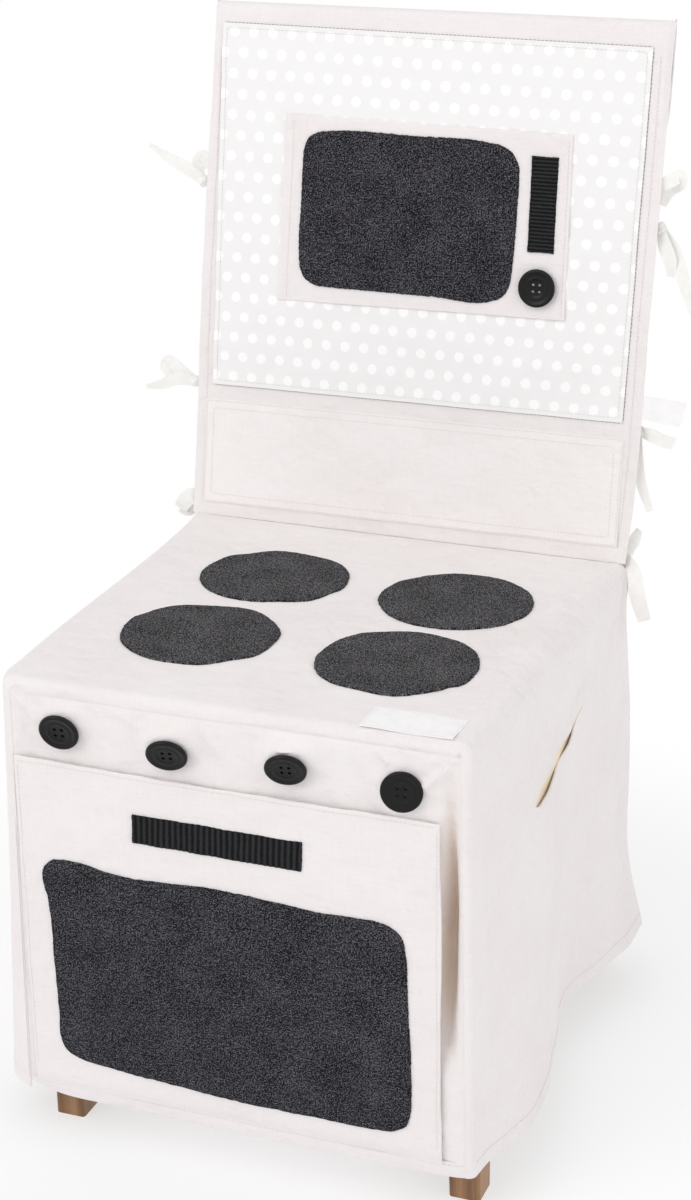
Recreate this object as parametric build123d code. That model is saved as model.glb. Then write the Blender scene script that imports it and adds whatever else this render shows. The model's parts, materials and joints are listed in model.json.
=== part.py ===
from build123d import *
import os
from math import acos, cos, degrees, radians, sin

# A play oven: a fitted canvas cover, with a hob, an oven front and a microwave, over a wooden
# dining chair that carries it. Millimetres, +Z up, front towards -Y, origin on the floor under
# the middle of the part's outline.

os.makedirs("parts", exist_ok=True)

# ---------------------------------------------------------------- whole part
seat_height = 445.0          # floor to the top of the hob cloth
seat_front_width = 408.0
seat_rear_width = 440.0      # at the foot of the back sleeve
seat_depth = 425.0           # front face of the cover to the front face of the back sleeve
back_rise = 485.0            # hob to the top of the sleeve, measured upright
back_lean = 8.5              # degrees from upright
sleeve_width = 440.0
sleeve_depth = 28.0          # over both cloths and the posts between them
hem_height = 45.0            # floor to the hem of the skirt

# ---------------------------------------------------------------- cloth and gaps
canvas = 2.0                 # thickness of the canvas
felt = 2.0
webbing = 1.8
ribbon = 1.2
label_cloth = 0.8
print_cloth = 1.2            # the dotted panel
splash_cloth = 1.0
ease = 0.3                   # cloth to wood, and between pieces that move past each other
corner_radius = 8.0          # corners of the hob in plan

# ---------------------------------------------------------------- skirt
front_flare = 6.0            # each front corner stands out this much more at the hem
back_flare = 20.0            # the back skirt stands out this much more at the hem
back_hem_width = 456.0
side_slit_end = 12.0         # side panel's top runs this far past the sleeve's front face
# Hem of a side panel: (share of its depth, distance outside the edge of the hob)
hem_wave = ((0.0, 6.0), (0.22, 25.0), (0.43, 9.0), (0.64, -15.0), (0.84, -7.0), (1.0, 6.0))
front_hem = 1.6              # thickness of the folded hem under the oven door

# ---------------------------------------------------------------- oven
door_side = 14.0             # door narrower than the front of the hob, each side
door_drop = 70.0             # door's top edge below the hob
door_thickness = 3.0
door_x = -9.0                # middle of the door
door_bottom = 60.0           # height of the hinge seam
door_corner = 3.0
loop_tape = 1.1              # closure tape on the cover
hook_tape = 1.2              # closure tape on the door
tape_width = 40.0
tape_height = 16.0
tape_inset = 5.0             # from the door's side edges and from its top
liner_side_gap = 6.0         # oven liner to each front leg
liner_headroom = 26.7        # oven liner to the front rail above it
oven_bottom = 74.0
oven_depth = 180.0           # inside depth of the liner
oven_corner = 10.0
window_left = 23.0           # margins of the window on the door
window_right = 25.5
window_below = 19.0
window_above = 93.0
window_corner = 28.0
handle_length = 154.0
handle_width = 26.0
handle_x = -5.6
handle_drop = 49.0           # middle of the strap below the door's top edge
strap_corner = 1.0

# ---------------------------------------------------------------- hob
burner_diameter = 136.0
burner_gap_x = 44.0          # cloth between two rings
burner_gap_y = 12.0
burner_x = 4.0
burner_y = 209.0             # middle of the four, behind the front face
label_width = 79.0
label_depth = 39.0
label_side = 56.0            # middle of the label in from the hob's front right corner
label_y = 24.0               # middle of the label behind the front face

# ---------------------------------------------------------------- knobs
knob_diameter = 35.0
knob_thickness = 4.6
knob_edge = 1.2              # rounding of the rim's outer edge
knob_rim = 3.6               # width of the raised rim
knob_rim_depth = 0.8
knob_dish_radius = 9.5
knob_dish_depth = 0.6
knob_hole_radius = 1.3
knob_hole_circle = 4.4
knob_drop = 40.0             # middle of the row below the hob
knob_side = 52.5             # outer buttons in from the hob's front corners
knob_row_x = -3.4
# Sewn by eye: each button's middle off its even place in the row, (right, up)
knob_shift = ((0.7, 1.9), (-2.1, 0.9), (2.0, 4.9), (-0.5, -6.3))
# Each sewn button hangs a little off square: (degrees its face looks down, degrees to its right)
knob_hang = ((15.0, 5.0), (25.0, 12.0), (25.0, 12.0), (-3.0, 10.0))
knob_stand_off = 0.6         # least gap from a button's edge to the cloth
shank_radius = 2.2           # bound thread under each button
shank_grip = 1.8             # length of the shank inside the button
shank_clearance = 0.05       # radial, button on its shank

# ---------------------------------------------------------------- microwave and sleeve panels
panel_corner = 2.0
dotted_left = 9.5            # margins of the dotted panel on the sleeve
dotted_right = 15.5
dotted_above = 22.4
dotted_z = 130.0             # lower edge, along the sleeve from the hob
splash_left = 5.0            # margins of the plain panel on the sleeve
splash_right = 11.0
splash_above = 15.0          # plain panel to the dotted one
splash_z = 13.0
microwave_width = 281.0
microwave_height = 171.0
microwave_thickness = 2.4
microwave_left = 65.5        # hinge edge from the dotted panel's left edge
microwave_below = 87.0       # lower edge from the dotted panel's lower edge
micro_window_left = 21.0     # margins of the window on the microwave's flap
micro_window_right = 48.0
micro_window_below = 15.0
micro_window_above = 11.0
micro_window_corner = 22.0
micro_handle_width = 25.0
micro_handle_right = 11.0    # margins of the strap on the flap
micro_handle_below = 62.0
micro_handle_above = 22.0
micro_knob_right = 24.0      # middle of the button from the flap's right edge
micro_knob_z = 31.0

# ---------------------------------------------------------------- side pocket
pocket_mouth = 150.0         # length of the slit
pocket_gape = 10.0           # widest opening of the slit
pocket_slope = 12.0          # degrees the slit rises towards the back
pocket_y = 209.0             # middle of the slit behind the front face
pocket_drop = 99.0           # middle of the slit below the hob
pocket_length = 168.0        # of the bag, front to back
pocket_bottom = 190.0
pocket_headroom = 3.7        # bag to the side rail above it
pocket_inside = 188.0        # distance of the bag's inner wall from the middle of the part
pocket_trim = 60.0           # depth outside the side panel over which the bag is trimmed off

# ---------------------------------------------------------------- ties and tag
ribbon_width = 12.0
knot_size = 13.0
tag_width = 42.0
tag_height = 22.0
tag_z = 136.0
tie_top = 332.0              # heights of the ties along the sleeve
tie_middle = 129.0
tie_bottom = 16.0
tail_reach = 58.0            # how far a tail stands out
# Tails of the ties from the top one down, two each, as points (outwards, up) from the knot in
# shares of the reach above
left_tails = (
    (((0, 0), (0.45, 0.2), (1, 0.35)), ((0, 0), (0.24, -0.35), (0.35, -0.6))),
    (((0, 0), (0.4, 0.03), (1, -0.14)), ((0, 0), (0.3, 0.14), (0.72, 0.45))),
    (((0, 0), (0.24, -0.1), (0.48, -0.17)), ((0, 0), (0.14, -0.31), (0.17, -0.62))),
)
right_tails = (
    (((0, 0), (0.17, 0.17), (0.38, 0.38)), ((0, 0), (0.38, -1.03), (1, -2.76))),
    (((0, 0), (0.28, 0.07), (0.62, 0)), ((0, 0), (0.14, -0.52), (0.14, -1.31))),
    (((0, 0), (0.14, 0.14), (0.21, 0.24)), ((0, 0), (0.17, -0.52), (0.35, -1.2))),
)

# ---------------------------------------------------------------- chair
seat_board = 18.0
board_inset = 1.5            # board's front corners inside the side panels, which tuck in under
board_corner = 16.0          # rounding of the board's front corners, in plan
board_round = 12.0           # rounding of its upper edge at the front and sides
board_rear_inset = 24.0      # board's rear corners inside the edge of the sleeve
rail_height = 50.0
rail_thickness = 20.0
rail_inset = 3.0             # rails stand this far inside the legs' outer faces
leg_top = 40.0
leg_foot_width = 28.0
leg_foot_depth = 30.0
leg_setback = 33.0           # front face of a front leg behind the cover's front face
wood_round = 3.0
post_width = 30.0
post_inset = 36.0            # post's outer face inside the edge of the sleeve
rear_splay = 16.0            # rear foot further back than the post at the hob
rear_foot_depth = 24.0
stretcher_height = 28.0
stretcher_thickness = 13.0
stretcher_z = 150.0          # middle of the stretchers
stretcher_inset = 36.0       # outer face inside the edge of the sleeve
cross_stretcher_y = 300.0    # middle of the cross stretcher behind the front face
crest_inset = 6.0            # ends of the crest rail inside the edge of the sleeve
crest_corner = 12.0
crest_height = 60.0
crest_thickness = 18.0
lower_rail_z = 110.0         # lower back rail, along the back from the hob
lower_rail_height = 40.0
lower_rail_thickness = 16.0
slat_count = 4
slat_width = 34.0
slat_thickness = 8.0
slat_pitch = 76.0
block_leg = 62.0             # corner blocks, along each rail from the rails' corner
block_height = 30.0
screw_radius = 2.0
screw_length = 40.0
screw_head_radius = 4.0
screw_head = 2.5
screw_clearance = 0.1

# ---------------------------------------------------------------- worked out from the above
cloth_under = seat_height - canvas
board_top = cloth_under - ease
rail_top = board_top - seat_board
rail_bottom = rail_top - rail_height
skirt_height = cloth_under - hem_height
back_length = back_rise / cos(radians(back_lean))
crest_z = back_length - canvas - ease - crest_height
door_gap = loop_tape + ease + hook_tape
door_width = seat_front_width - 2 * door_side
door_height = seat_height - door_drop - door_bottom
window_width = door_width - window_left - window_right
window_height = door_height - window_below - window_above
window_x = (window_left - window_right) / 2
handle_z = door_height - handle_drop
oven_height = rail_bottom - liner_headroom - canvas - oven_bottom
burner_spacing_x = burner_diameter + burner_gap_x
burner_spacing_y = burner_diameter + burner_gap_y
label_x = seat_front_width / 2 - label_side
knob_height = seat_height - knob_drop
knob_spacing = (seat_front_width - 2 * knob_side) / (len(knob_hang) - 1)
dotted_width = sleeve_width - dotted_left - dotted_right
dotted_height = back_length - dotted_above - dotted_z
dotted_x = (dotted_left - dotted_right) / 2
splash_width = sleeve_width - splash_left - splash_right
splash_height = dotted_z - splash_above - splash_z
splash_x = (splash_left - splash_right) / 2
microwave_x = dotted_x - dotted_width / 2 + microwave_left
microwave_z = dotted_z + microwave_below
micro_window_width = microwave_width - micro_window_left - micro_window_right
micro_window_height = microwave_height - micro_window_below - micro_window_above
micro_handle_length = microwave_height - micro_handle_below - micro_handle_above
pocket_z = seat_height - pocket_drop
pocket_top = rail_bottom - pocket_headroom
stretcher_outside = sleeve_width / 2 - stretcher_inset


def hang_angle(hang):
    """Degrees between a hanging button's axis and the cloth's normal."""
    down, aside = hang
    return degrees(acos(cos(radians(down)) * cos(radians(aside))))


def knob_lift(angle):
    """Length of shank, from the cloth to the back of the button, that keeps its edge clear."""
    edge = knob_diameter / 2 * sin(radians(angle))
    return (edge + knob_stand_off) / cos(radians(angle))


steepest = max(hang_angle(hang) for hang in knob_hang)
knob_reach = (knob_diameter * sin(radians(steepest)) + knob_stand_off
              + knob_thickness * cos(radians(steepest)))
rear_reach = (seat_depth + back_length * sin(radians(back_lean))
              + sleeve_depth * cos(radians(back_lean)))
front_y = (knob_reach - rear_reach) / 2
sleeve_y = front_y + seat_depth
board_front = front_y + canvas + ease
leg_front = front_y + leg_setback
leg_rear = leg_front + leg_top
back = Pos(0, sleeve_y, seat_height) * Rot(-back_lean, 0, 0)


def hob_half_width(y):
    """Half the width of the hob at a distance y from the middle of the part."""
    share = (y - front_y) / seat_depth
    return (seat_front_width + (seat_rear_width - seat_front_width) * share) / 2


oven_width = 2 * (hob_half_width(leg_front) - ease - leg_top - liner_side_gap - 2 * canvas)


def on_back(depth, height):
    """World (y, z) of a point depth behind the sleeve's front face, height up along it."""
    lean = radians(back_lean)
    y = sleeve_y + depth * cos(lean) + height * sin(lean)
    z = seat_height - depth * sin(lean) + height * cos(lean)
    return y, z


def prism_x(points, x_from, x_to):
    """A prism along X over an outline of (y, z) points."""
    outline = Polyline([(x_from, y, z) for y, z in points], close=True)
    return extrude(make_face(outline), amount=x_to - x_from, dir=(1, 0, 0))


def prism_y(points, y_from, y_to):
    """A prism along Y over an outline of (x, z) points."""
    outline = Polyline([(x, y_from, z) for x, z in points], close=True)
    return extrude(make_face(outline), amount=y_to - y_from, dir=(0, 1, 0))


def prism_z(points, z_from, z_to):
    """A prism along Z over an outline of (x, y) points."""
    outline = Polyline([(x, y, z_from) for x, y in points], close=True)
    return extrude(make_face(outline), amount=z_to - z_from, dir=(0, 0, 1))


def block(x_from, x_to, y_from, y_to, z_from, z_to):
    """A box between two corners."""
    middle = Pos((x_from + x_to) / 2, (y_from + y_to) / 2, (z_from + z_to) / 2)
    return middle * Box(x_to - x_from, y_to - y_from, z_to - z_from)


def upright_pad(width, height, corner, thickness):
    """A rounded plate standing in XZ, its lower edge at z=0, its front face at y=-thickness."""
    outline = Pos(0, height / 2) * RectangleRounded(width, height, corner)
    return extrude(Plane.XZ * outline, amount=thickness)


def mirrored(shape):
    """The same piece on the other side of the part."""
    return mirror(shape, about=Plane.YZ)


# ================================================================ chair
def front_leg():
    """Right front leg: square under the seat, then tapered on its inner and rear faces."""
    outside = hob_half_width(leg_front) - canvas - ease
    top_middle = (outside - leg_top / 2, leg_front + leg_top / 2)
    foot_middle = (outside - leg_foot_width / 2, leg_front + leg_foot_depth / 2)
    square = RectangleRounded(leg_top, leg_top, wood_round)
    foot = RectangleRounded(leg_foot_width, leg_foot_depth, wood_round)
    head = extrude(Pos(*top_middle, rail_bottom) * square, amount=rail_height)
    shaft = loft([Pos(*foot_middle, 0) * foot, Pos(*top_middle, rail_bottom) * square])
    return head + shaft


def leg_rear_at(z):
    """World y of a front leg's tapered rear face at height z."""
    share = z / rail_bottom
    return leg_front + leg_foot_depth + (leg_top - leg_foot_depth) * share


def post_profile():
    """Side outline of a rear post, as (y, z) points from the top front corner round."""
    near = canvas + ease
    far = sleeve_depth - canvas - ease
    top = crest_z
    front_foot = on_back(near, 0)[0] + rear_splay
    return [on_back(near, top), on_back(near, 0), (front_foot, 0),
            (front_foot + rear_foot_depth, 0), on_back(far, 0), on_back(far, top)]


def post_front_at(z):
    """World y of a rear post's front face at a height z below the hob."""
    top_y, top_z = on_back(canvas + ease, 0)
    return top_y + rear_splay * (top_z - z) / top_z


def rear_post():
    """Right rear leg and back post in one bent piece."""
    outside = sleeve_width / 2 - post_inset
    return prism_x(post_profile(), outside - post_width, outside)


def chair_seat():
    """Seat board, with a pilot hole for each corner screw."""
    board_rear = on_back(canvas + ease, 0)[0] - ease
    front = hob_half_width(board_front) - canvas - board_inset
    rear = sleeve_width / 2 - board_rear_inset
    board = prism_z([(-front, board_front), (front, board_front),
                     (rear, board_rear), (-rear, board_rear)], rail_top, board_top)
    board = fillet(board.edges().filter_by(Axis.Z).sort_by(Axis.Y)[:2], board_corner)
    upper = board.edges().group_by(Axis.Z)[-1].sort_by(Axis.Y)[:-1]
    board = fillet(upper, board_round)
    for x, y in screw_places():
        hole_depth = screw_length - screw_head - block_height + screw_clearance
        board -= Pos(x, y, rail_top + hole_depth / 2) * Cylinder(
            screw_radius + screw_clearance, hole_depth)
    return board


def front_rail():
    """Rail between the two front legs."""
    reach = hob_half_width(leg_front) - canvas - ease - leg_top
    y_from = leg_front + rail_inset
    return block(-reach, reach, y_from, y_from + rail_thickness, rail_bottom, rail_top)


def side_rail():
    """Right rail from the front leg's rear face to the rear post's front face."""
    x_front = hob_half_width(leg_front) - canvas - ease - rail_inset
    x_rear = sleeve_width / 2 - post_inset - rail_inset
    lower = [(leg_rear, rail_bottom), (post_front_at(rail_bottom), rail_bottom),
             (post_front_at(rail_top), rail_top), (leg_rear, rail_top)]
    long_end = post_front_at(rail_bottom)
    plan = [(x_front - rail_thickness, leg_rear), (x_front, leg_rear),
            (x_rear, long_end), (x_rear - rail_thickness, long_end)]
    return prism_x(lower, 0, sleeve_width) & prism_z(plan, rail_bottom, rail_top)


def rear_rail():
    """Rail between the two rear posts, at the height of the other rails."""
    reach = sleeve_width / 2 - post_inset - post_width
    low = post_front_at(rail_bottom)
    high = post_front_at(rail_top)
    outline = [(low, rail_bottom), (low + rail_thickness, rail_bottom),
               (high + rail_thickness, rail_top), (high, rail_top)]
    return prism_x(outline, -reach, reach)


def side_stretcher():
    """Right stretcher between the front leg and the rear post."""
    low = stretcher_z - stretcher_height / 2
    high = stretcher_z + stretcher_height / 2
    outline = [(leg_rear_at(low), low), (post_front_at(low), low),
               (post_front_at(high), high), (leg_rear_at(high), high)]
    return prism_x(outline, stretcher_outside - stretcher_thickness, stretcher_outside)


def cross_stretcher():
    """Stretcher between the two side stretchers."""
    reach = stretcher_outside - stretcher_thickness
    y = front_y + cross_stretcher_y
    half = stretcher_height / 2
    return block(-reach, reach, y - stretcher_thickness / 2, y + stretcher_thickness / 2,
                 stretcher_z - half, stretcher_z + half)


def back_bar(reach, thickness, z_from, z_to):
    """A flat bar along the middle of the sleeve, before the back's lean is put on it."""
    middle = sleeve_depth / 2
    return block(-reach, reach, middle - thickness / 2, middle + thickness / 2, z_from, z_to)


def crest_rail():
    """Top rail of the chair back, over the ends of the two posts."""
    reach = sleeve_width / 2 - crest_inset
    rail = back_bar(reach, crest_thickness, crest_z, crest_z + crest_height)
    top_corners = rail.edges().filter_by(Axis.Y).sort_by(Axis.Z)[-2:]
    return back * fillet(top_corners, crest_corner)


def lower_back_rail():
    """Lower rail of the chair back, between the posts."""
    reach = sleeve_width / 2 - post_inset - post_width
    return back * back_bar(reach, lower_rail_thickness, lower_rail_z,
                           lower_rail_z + lower_rail_height)


def back_slats():
    """The flat slats between the crest rail and the lower back rail."""
    z_from = lower_rail_z + lower_rail_height
    middle = sleeve_depth / 2
    slats = []
    for number in range(slat_count):
        x = (number - (slat_count - 1) / 2) * slat_pitch
        slats.append(back * block(x - slat_width / 2, x + slat_width / 2,
                                  middle - slat_thickness / 2, middle + slat_thickness / 2,
                                  z_from, crest_z))
    return slats


def screw_places():
    """Plan positions of the four corner screws."""
    front = leg_rear + block_leg / 5
    rear = post_front_at(rail_bottom) - block_leg / 5
    places = []
    for y in (front, rear):
        x = side_rail_inner(y) - block_leg / 4
        places += [(x, y), (-x, y)]
    return places


def side_rail_inner(y):
    """Distance of the side rail's inner face from the middle of the part."""
    x_front = hob_half_width(leg_front) - canvas - ease - rail_inset
    x_rear = sleeve_width / 2 - post_inset - rail_inset
    share = (y - leg_rear) / (post_front_at(rail_bottom) - leg_rear)
    return x_front + (x_rear - x_front) * share - rail_thickness


def corner_blocks():
    """Four glued blocks in the corners of the rails, each bored for its screw."""
    z_from = rail_top - block_height
    front_corner_y = leg_front + rail_inset + rail_thickness
    front_x = side_rail_inner(leg_rear)
    front = prism_z([(front_x + rail_thickness, front_corner_y),
                     (front_x - block_leg, front_corner_y),
                     (front_x + rail_thickness, front_corner_y + block_leg)],
                    z_from, rail_top)
    rear_corner_y = post_front_at(rail_bottom)
    rear_x = side_rail_inner(rear_corner_y)
    rear = prism_z([(rear_x + rail_thickness, rear_corner_y),
                    (rear_x + rail_thickness, rear_corner_y - block_leg),
                    (rear_x - block_leg, rear_corner_y)],
                   z_from, rail_top)
    neighbours = [front_leg(), side_rail(), rear_post(), rear_rail()]
    blocks = []
    for piece in (front, rear):
        for neighbour in neighbours:
            piece -= neighbour
        piece = max(piece.solids(), key=lambda solid: solid.volume)
        for x, y in screw_places():
            piece -= Pos(x, y, rail_top - block_height / 2) * Cylinder(
                screw_radius + screw_clearance, 2 * block_height)
        blocks += [piece, mirrored(piece)]
    return blocks


def seat_screws():
    """The screws that hold the seat board down on the corner blocks."""
    z = rail_top - block_height
    screws = []
    for x, y in screw_places():
        shank = Pos(x, y, z - screw_head + screw_length / 2) * Cylinder(
            screw_radius, screw_length)
        head = Pos(x, y, z - screw_head / 2) * Cylinder(screw_head_radius, screw_head)
        screws.append(shank + head)
    return screws


# ================================================================ cover, hob and skirt
def seat_panel():
    """Top cloth of the hob."""
    y_rear = sleeve_y - ease
    front = hob_half_width(front_y)
    rear = hob_half_width(y_rear)
    panel = prism_z([(-front, front_y), (front, front_y), (rear, y_rear), (-rear, y_rear)],
                    cloth_under, seat_height)
    front_corners = panel.edges().filter_by(Axis.Z).sort_by(Axis.Y)[:2]
    return fillet(front_corners, corner_radius)


def front_half_width(z):
    """Half the width of the front panel at height z."""
    return seat_front_width / 2 + front_flare * (cloth_under - z) / skirt_height


def front_panel():
    """Front cloth from the hob to the hem, with the opening of the oven."""
    top = front_half_width(cloth_under)
    low = front_half_width(hem_height)
    panel = prism_y([(-top, cloth_under), (top, cloth_under), (low, hem_height),
                     (-low, hem_height)], front_y, front_y + canvas)
    opening = upright_pad(oven_width, oven_height, oven_corner, 4 * canvas)
    corners = panel.edges().filter_by(Axis.Y).sort_by(Axis.Z)[-2:]
    panel = fillet(corners, canvas)
    return panel - Pos(0, front_y + 3 * canvas, oven_bottom) * opening


def front_hem_band():
    """Folded hem along the front, under the oven door."""
    top = door_bottom - ease
    wide_top = front_half_width(top)
    wide_low = front_half_width(hem_height)
    return prism_y([(-wide_top, top), (wide_top, top), (wide_low, hem_height),
                    (-wide_low, hem_height)], front_y - front_hem, front_y)


def side_face():
    """Outer surface of the right side panel, ruled from the hob's edge to the waving hem."""
    y_front = front_y + canvas + ease
    y_top = sleeve_y + side_slit_end
    y_low = back_panel_inside(hem_height) - 3 * ease
    top = Edge.make_line((hob_half_width(y_front), y_front, cloth_under),
                         (hob_half_width(y_top), y_top, cloth_under))
    points = []
    for share, outside in hem_wave:
        y = y_front + (y_low - y_front) * share
        points.append((hob_half_width(y) + outside, y, hem_height))
    return Face.make_surface_from_curves(top, Edge.make_spline(points))


def side_sheet(inner, outer):
    """A sheet along the right side panel between two distances inside its outer surface."""
    thick = Solid.thicken(side_face(), -inner, normal_override=(1, 0, 0))
    if outer > 0:
        thick -= Solid.thicken(side_face(), -outer, normal_override=(1, 0, 0))
    return thick


def slit_tool():
    """Lens-shaped cutter for the mouth of the side pocket, widest towards its front end."""
    half = pocket_mouth / 2
    upper = ThreePointArc((-half, 0), (-half / 3, pocket_gape / 2), (half, 0))
    lower = ThreePointArc((-half, 0), (-half / 3, -pocket_gape / 2), (half, 0))
    lens = Rot(0, 0, pocket_slope) * make_face([upper, lower])
    middle = Plane(origin=(0, front_y + pocket_y, pocket_z), x_dir=(0, 1, 0), z_dir=(1, 0, 0))
    return extrude(middle * lens, amount=sleeve_width)


def left_side_panel():
    """Left side of the skirt."""
    return mirrored(side_sheet(canvas, 0))


def right_side_panel():
    """Right side of the skirt, slit for the pocket."""
    return side_sheet(canvas, 0) - slit_tool()


def side_pocket():
    """Bag behind the slit, open only towards the side panel."""
    y_from = front_y + pocket_y - pocket_length / 2
    y_to = front_y + pocket_y + pocket_length / 2
    reach = sleeve_width / 2 + pocket_trim / 2
    bag = block(pocket_inside, reach, y_from, y_to, pocket_bottom, pocket_top)
    bag -= block(pocket_inside + canvas, reach, y_from + canvas, y_to - canvas,
                 pocket_bottom + canvas, pocket_top - canvas)
    outward = Solid.thicken(side_face(), pocket_trim, normal_override=(1, 0, 0))
    return bag - outward - side_sheet(canvas + ease, 0)


def back_panel_inside(z):
    """World y of the back skirt's inner face at height z."""
    top_y = on_back(sleeve_depth - canvas, 0)[0]
    return top_y + back_flare * (cloth_under - z) / skirt_height


def back_panel():
    """Back of the skirt, from the foot of the sleeve to the hem."""
    top_z = on_back(sleeve_depth, 0)[1] - ease
    top_y = back_panel_inside(top_z)
    low_y = back_panel_inside(hem_height)
    sheet = prism_x([(top_y, top_z), (low_y, hem_height), (low_y + canvas, hem_height),
                     (top_y + canvas, top_z)], -back_hem_width, back_hem_width)
    top = sleeve_width / 2
    low = back_hem_width / 2
    shape = prism_y([(-top, top_z), (top, top_z), (low, hem_height), (-low, hem_height)],
                    sleeve_y, sleeve_y + seat_depth)
    return sheet & shape


# ================================================================ cover, oven
def oven_liner():
    """Five-sided cloth pocket sewn round the opening in the front panel."""
    y_from = front_y + canvas
    outer = block(-oven_width / 2 - canvas, oven_width / 2 + canvas,
                  y_from, y_from + oven_depth + canvas,
                  oven_bottom - canvas, oven_bottom + oven_height + canvas)
    inner = block(-oven_width / 2, oven_width / 2, y_from - canvas, y_from + oven_depth,
                  oven_bottom, oven_bottom + oven_height)
    return outer - inner


door_back = front_y - door_gap
door_place = Pos(door_x, door_back, door_bottom)
door_face_place = Pos(door_x, door_back - door_thickness, door_bottom)


def oven_door():
    """Door cloth, sewn to the hem along its lower edge."""
    return door_place * upright_pad(door_width, door_height, door_corner, door_thickness)


def oven_window():
    """Felt window of the oven door."""
    pad = upright_pad(window_width, window_height, window_corner, felt)
    return door_face_place * Pos(window_x, 0, window_below) * pad


def oven_handle():
    """Webbing strap sewn flat near the top of the door."""
    strap = upright_pad(handle_length, handle_width, strap_corner, webbing)
    return door_face_place * Pos(handle_x, 0, handle_z - handle_width / 2) * strap


def closure_tapes(y_back, thickness):
    """A pair of closure tapes at the door's top corners, standing forward from y_back."""
    side = door_width / 2 - tape_inset - tape_width / 2
    z = door_bottom + door_height - tape_inset - tape_height
    tape = upright_pad(tape_width, tape_height, strap_corner, thickness)
    return [Pos(door_x + sign * side, y_back, z) * tape for sign in (-1, 1)]


# ================================================================ knobs
def knob_frame(number):
    """Place of a knob: origin on the cloth, +Z out along the button's axis."""
    down, aside = knob_hang[number]
    right, up = knob_shift[number]
    x = knob_row_x + (number - (len(knob_hang) - 1) / 2) * knob_spacing + right
    return Pos(x, front_y, knob_height + up) * Rot(0, 0, aside) * Rot(90 + down, 0, 0)


def button():
    """Four-hole button with a raised rim, back face at z=0, bored for its shank."""
    radius = knob_diameter / 2
    flat = radius - knob_edge
    rim_inside = radius - knob_rim
    face = knob_thickness - knob_rim_depth
    profile = make_face([
        Polyline([(0, 0), (flat, 0)]),
        ThreePointArc((flat, 0), (radius, knob_thickness / 2), (flat, knob_thickness)),
        Polyline([(flat, knob_thickness), (rim_inside + knob_edge / 2, knob_thickness),
                  (rim_inside, face), (knob_dish_radius, face),
                  (knob_dish_radius - knob_edge, face - knob_dish_depth),
                  (0, face - knob_dish_depth), (0, 0)]),
    ])
    body = revolve(Plane.XZ * profile, axis=Axis.Z)
    for angle in (45, 135, 225, 315):
        body -= Rot(0, 0, angle) * Pos(knob_hole_circle, 0, 0) * Cylinder(
            knob_hole_radius, 3 * knob_thickness)
    bore = Cylinder(shank_radius + shank_clearance, 2 * (shank_grip + ease))
    return body - bore


def shank(lift):
    """Bound thread from below the cloth's face up into the button."""
    root = knob_diameter / 4
    return Pos(0, 0, (lift + shank_grip - root) / 2) * Cylinder(
        shank_radius, lift + shank_grip + root)


def knob(number):
    """One of the four oven knobs."""
    lift = knob_lift(hang_angle(knob_hang[number]))
    return knob_frame(number) * Pos(0, 0, lift) * button()


def knob_shanks():
    """The thread shanks of the four oven knobs, each ending on the front cloth."""
    behind = block(-sleeve_width, sleeve_width, front_y, front_y + knob_diameter,
                   cloth_under - 4 * knob_diameter, seat_height)
    shanks = []
    for number, hang in enumerate(knob_hang):
        shanks.append(knob_frame(number) * shank(knob_lift(hang_angle(hang))) - behind)
    return shanks


# ================================================================ sleeve and microwave
def sleeve_front():
    """Front cloth of the sleeve, turned back over the top of the chair."""
    half = sleeve_width / 2
    face = block(-half, half, 0, canvas, 0, back_length)
    fold = block(-half, half, 0, sleeve_depth - canvas, back_length - canvas, back_length)
    return back * (face + fold)


def sleeve_back():
    """Rear cloth of the sleeve."""
    half = sleeve_width / 2
    return back * block(-half, half, sleeve_depth - canvas, sleeve_depth, 0, back_length)


def splash_panel():
    """Plain panel between the hob and the dotted panel."""
    pad = upright_pad(splash_width, splash_height, panel_corner, splash_cloth)
    return back * Pos(splash_x, 0, splash_z) * pad


def dotted_panel():
    """Dotted panel that carries the microwave."""
    pad = upright_pad(dotted_width, dotted_height, panel_corner, print_cloth)
    return back * Pos(dotted_x, 0, dotted_z) * pad


micro_back = back * Pos(microwave_x, -print_cloth - ease, microwave_z)
micro_face = micro_back * Pos(0, -microwave_thickness, 0)


def microwave_door():
    """Cloth flap of the microwave, hinged along its left edge."""
    pad = upright_pad(microwave_width, microwave_height, panel_corner, microwave_thickness)
    return micro_back * Pos(microwave_width / 2, 0, 0) * pad


def microwave_window():
    """Felt window of the microwave."""
    pad = upright_pad(micro_window_width, micro_window_height, micro_window_corner, felt)
    middle = micro_window_left + micro_window_width / 2
    return micro_face * Pos(middle, 0, micro_window_below) * pad


def microwave_handle():
    """Webbing strap beside the microwave's window."""
    pad = upright_pad(micro_handle_width, micro_handle_length, strap_corner, webbing)
    middle = microwave_width - micro_handle_right - micro_handle_width / 2
    return micro_face * Pos(middle, 0, micro_handle_below) * pad


micro_knob_x = microwave_width - micro_knob_right
micro_knob_place = micro_face * Pos(micro_knob_x, 0, micro_knob_z) * Rot(90, 0, 0)
micro_knob_lift = knob_lift(0) + shank_grip


def microwave_knob():
    """Button under the microwave's strap."""
    return micro_knob_place * Pos(0, 0, micro_knob_lift) * button()


def microwave_shank():
    """Thread shank of the microwave's knob."""
    half = (micro_knob_lift + shank_grip) / 2
    return micro_knob_place * Pos(0, 0, half) * Cylinder(shank_radius, 2 * half)


# ================================================================ small cloth pieces
def burner(side, row):
    """One felt ring of the hob; side and row are -1 or 1."""
    x = burner_x + side * burner_spacing_x / 2
    y = front_y + burner_y + row * burner_spacing_y / 2
    return Pos(x, y, seat_height + felt / 2) * Cylinder(burner_diameter / 2, felt)


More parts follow.
